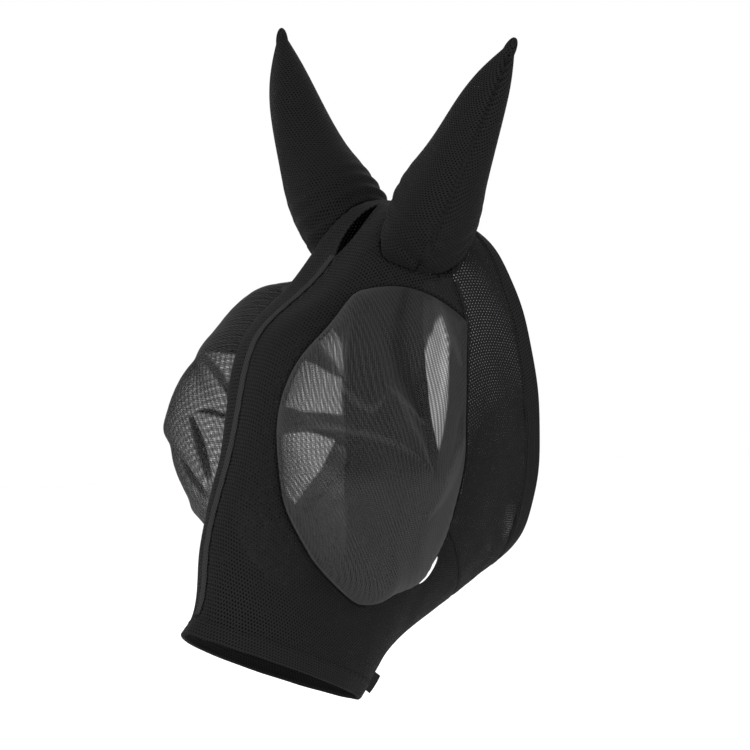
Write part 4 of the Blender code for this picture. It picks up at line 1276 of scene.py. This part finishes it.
def buildLabel():
    # A short woven tape folded in half and caught in the jaw seam, its fold standing out.
    station = labelCut["at"]
    here, ahead = hood(station, 1.0), hood(station + 0.02, 1.0)
    way = unit(ahead - here)
    out = hoodNormal(station, 1.0)
    out = unit(out - way * (out @ way))
    run, half = np.meshgrid(np.linspace(-1, 1, 25), np.linspace(-1, 1, 41))
    reach = labelCut["out"] * (1 - np.abs(half) ** 6)
    apart = labelCut["thick"] / 2 * np.sign(half) * np.clip(np.abs(half) * 3, 0, 1) ** 0.5
    lean = labelCut["lean"] * (reach / labelCut["out"]) ** 2 * np.cos(run * 1.2)
    points = here + way * (run * labelCut["length"] / 2)[..., None] + out * (reach + 0.0006)[..., None]
    points = points + np.array([1.0, 0, 0]) * (apart + lean)[..., None]
    uv = np.stack(np.broadcast_arrays(runAlong(points[:, 12])[:, None], run * labelCut["length"] / 2), -1)
    piece = gridPiece("jawLabel", points, uv, labelCloth)
    solid = piece.modifiers.new("wall", "SOLIDIFY")
    solid.thickness = labelCut["wall"]
    solid.offset = 0.0
    return piece


label = buildLabel()
markCut = {"from": 0.885, "to": 0.941, "off": 0.030, "width": 0.050, "rise": 0.0007}


def buildMark():
    # A plain strip of print beside the cover's lower corner, tapered at both ends.
    across, up = np.meshgrid(np.linspace(0, 1, 60), np.linspace(0, 1, 9))
    middle = np.array(eyeCut["centre"])
    rim = eyeOutline(panelCut["faceSpokes"], markCut["from"] + (markCut["to"] - markCut["from"]) * across)
    width = markCut["width"] * np.sin(math.pi * np.clip(across, 0.02, 0.98)) ** 0.5
    spot = middle + (rim - middle) * (1 + markCut["off"] + width * up)[..., None]
    points = atDepth(spot[..., 0], spot[..., 1], -markCut["rise"] * np.ones_like(up))
    uv = clothPlace(spot[..., 0], spot[..., 1])
    return gridPiece("printedMark", points, uv, printInk, inside=hoodCut["middle"], wall=0.0002)


mark = buildMark()
onHood += [label, mark]

# What rides on the hood. For the stretched pieces, declareCloth works out a cut size but does not keep it.
for piece in onHood:
    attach(piece, "hood")
for cover, area, flat in eyeCovers:
    declareCloth(area, flat)
for panel in facePanels:
    declareCloth(faceArea, faceFlat)
for panel in jowlPanels:
    declareCloth(jowlArea, jowlFlat)


def buildEarTape(side, word):
    # Behind the ear's seam, on the inside of the cloth.
    cut = earCut["tape"]
    up = np.linspace(cut["from"], cut["to"], 120)
    line = earSurface(np.full(120, earCut["seamAt"]), up, cut["depth"])
    beside = earSurface(np.full(120, earCut["seamAt"] + 0.01), up, cut["depth"]) - line
    way = unit(np.gradient(line, axis=0))
    sideways = unit(beside - way * (beside * way).sum(1, keepdims=True))
    run = [mirrorSide(part, side) for part in (line, sideways, np.cross(way, sideways))]
    return ribbon(word + "EarSeamTape", *run, cut["width"], cut["thick"], seamTapeCloth)


earTapes = []
for (ear, area, flat), (side, word) in zip(ears, sides):
    tape = buildEarTape(side, word)
    earTapes.append(tape)
    declareCloth(area, flat)
    start, end = mirrorSide(earRoot, side), mirrorSide(earRoot + earAxis * earCut["hold"], side)
    for piece in (ear, tape):
        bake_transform(piece, "hood", word + "_ear", start=tuple(start), end=tuple(end))

for piece, nodes in (
    (noseHem, ("nose_hem", "nose_elastic")), (neckHem, ("neck_hem", "neck_elastic")),
    (faceTape, ("face_seam_tape",)), (pollTape, ("poll_seam_tape",)), (jawTape, ("jaw_seam_tape",)),
    (slotBinding, ("forelock_slot_binding",)), (label, ("jaw_label",)), (mark, ("printed_mark",)),
):
    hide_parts(*nodes)
for i, (_, word) in enumerate(sides):
    for piece, node in (
        (facePanels[i], "face_panel"), (jowlPanels[i], "jowl_panel"), (eyeCovers[i][0], "eye_cover"),
        (eyeBindings[i], "eye_binding"), (ears[i][0], "ear"), (earTapes[i], "ear_seam_tape"),
        (earBindings[i], "ear_binding"), (lowerTapes[i], "lower_jowl_tape"),
        (upperTapes[i], "upper_jowl_tape"),
    ):
        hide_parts(word + "_" + node)

studio = {
    "azimuth": 55.0, "elevation": 3.5, "distance": 10.0, "aim": (0.0, 0.0, -0.1634), "across": 0.7125,
    "floor": -0.60, "worldStrength": 1.0,
    "lamps": {  # place, width in metres, watts
        "keyLight": ((1.3, -2.4, 0.3), 1.6, 70.0),
        "sideLight": ((2.5, 0.9, 0.3), 1.4, 30.0),
        "backLight": ((-1.6, 1.8, 1.6), 1.6, 30.0),
    },
}


def paleFloor():
    # A wide, barely hollow sheet that lies under the mask.
    x, y = np.meshgrid(np.linspace(-4, 4, 41), np.linspace(-4, 4, 41))
    points = np.stack([x, y, studio["floor"] + 0.002 * (x**2 + y**2) / 32], -1)
    pale = bpy.data.materials.new("paleFloor")
    pale.use_nodes = True
    shader = pale.node_tree.nodes["Principled BSDF"]
    shader.inputs["Base Color"].default_value = grey(0.99)
    shader.inputs["Roughness"].default_value = 0.9
    floor = gridPiece("floor", points, points[..., :2], pale, inside=(0, 0, -5))


def softLight(name, place, size, power):
    lamp = bpy.data.lights.new(name, "AREA")
    lamp.shape = "DISK"
    lamp.size = size
    lamp.energy = power
    made = placeObject(name, lamp)
    made.location = place
    aim = np.array(studio["aim"]) - np.array(place)
    yaw, pitch = math.atan2(aim[1], aim[0]), math.atan2(aim[2], math.hypot(aim[0], aim[1]))
    made.rotation_euler = (math.pi / 2 + pitch, 0.0, yaw - math.pi / 2)


def studioWorld():
    world = bpy.data.worlds.new("studio")
    world.use_nodes = True
    sky = world.node_tree.nodes["Background"]
    sky.inputs["Color"].default_value = grey(1.0)
    sky.inputs["Strength"].default_value = studio["worldStrength"]
    bpy.context.scene.world = world


def studioCamera():
    turn, lift = math.radians(studio["azimuth"]), math.radians(studio["elevation"])
    back = np.array([math.sin(turn) * math.cos(lift), -math.cos(turn) * math.cos(lift), math.sin(lift)])
    lens = bpy.data.cameras.new("camera")
    lens.sensor_width = 36.0
    lens.lens = 36.0 * studio["distance"] / studio["across"]
    lens.clip_end = 100.0
    camera = placeObject("camera", lens)
    camera.location = np.array(studio["aim"]) + back * studio["distance"]
    camera.rotation_euler = (math.pi / 2 - lift, 0.0, turn)
    bpy.context.scene.camera = camera


paleFloor()
studioWorld()
for name, (place, size, power) in studio["lamps"].items():
    softLight(name, place, size, power)
studioCamera()
bpy.context.scene.view_settings.view_transform = "Standard"
print("studio set")
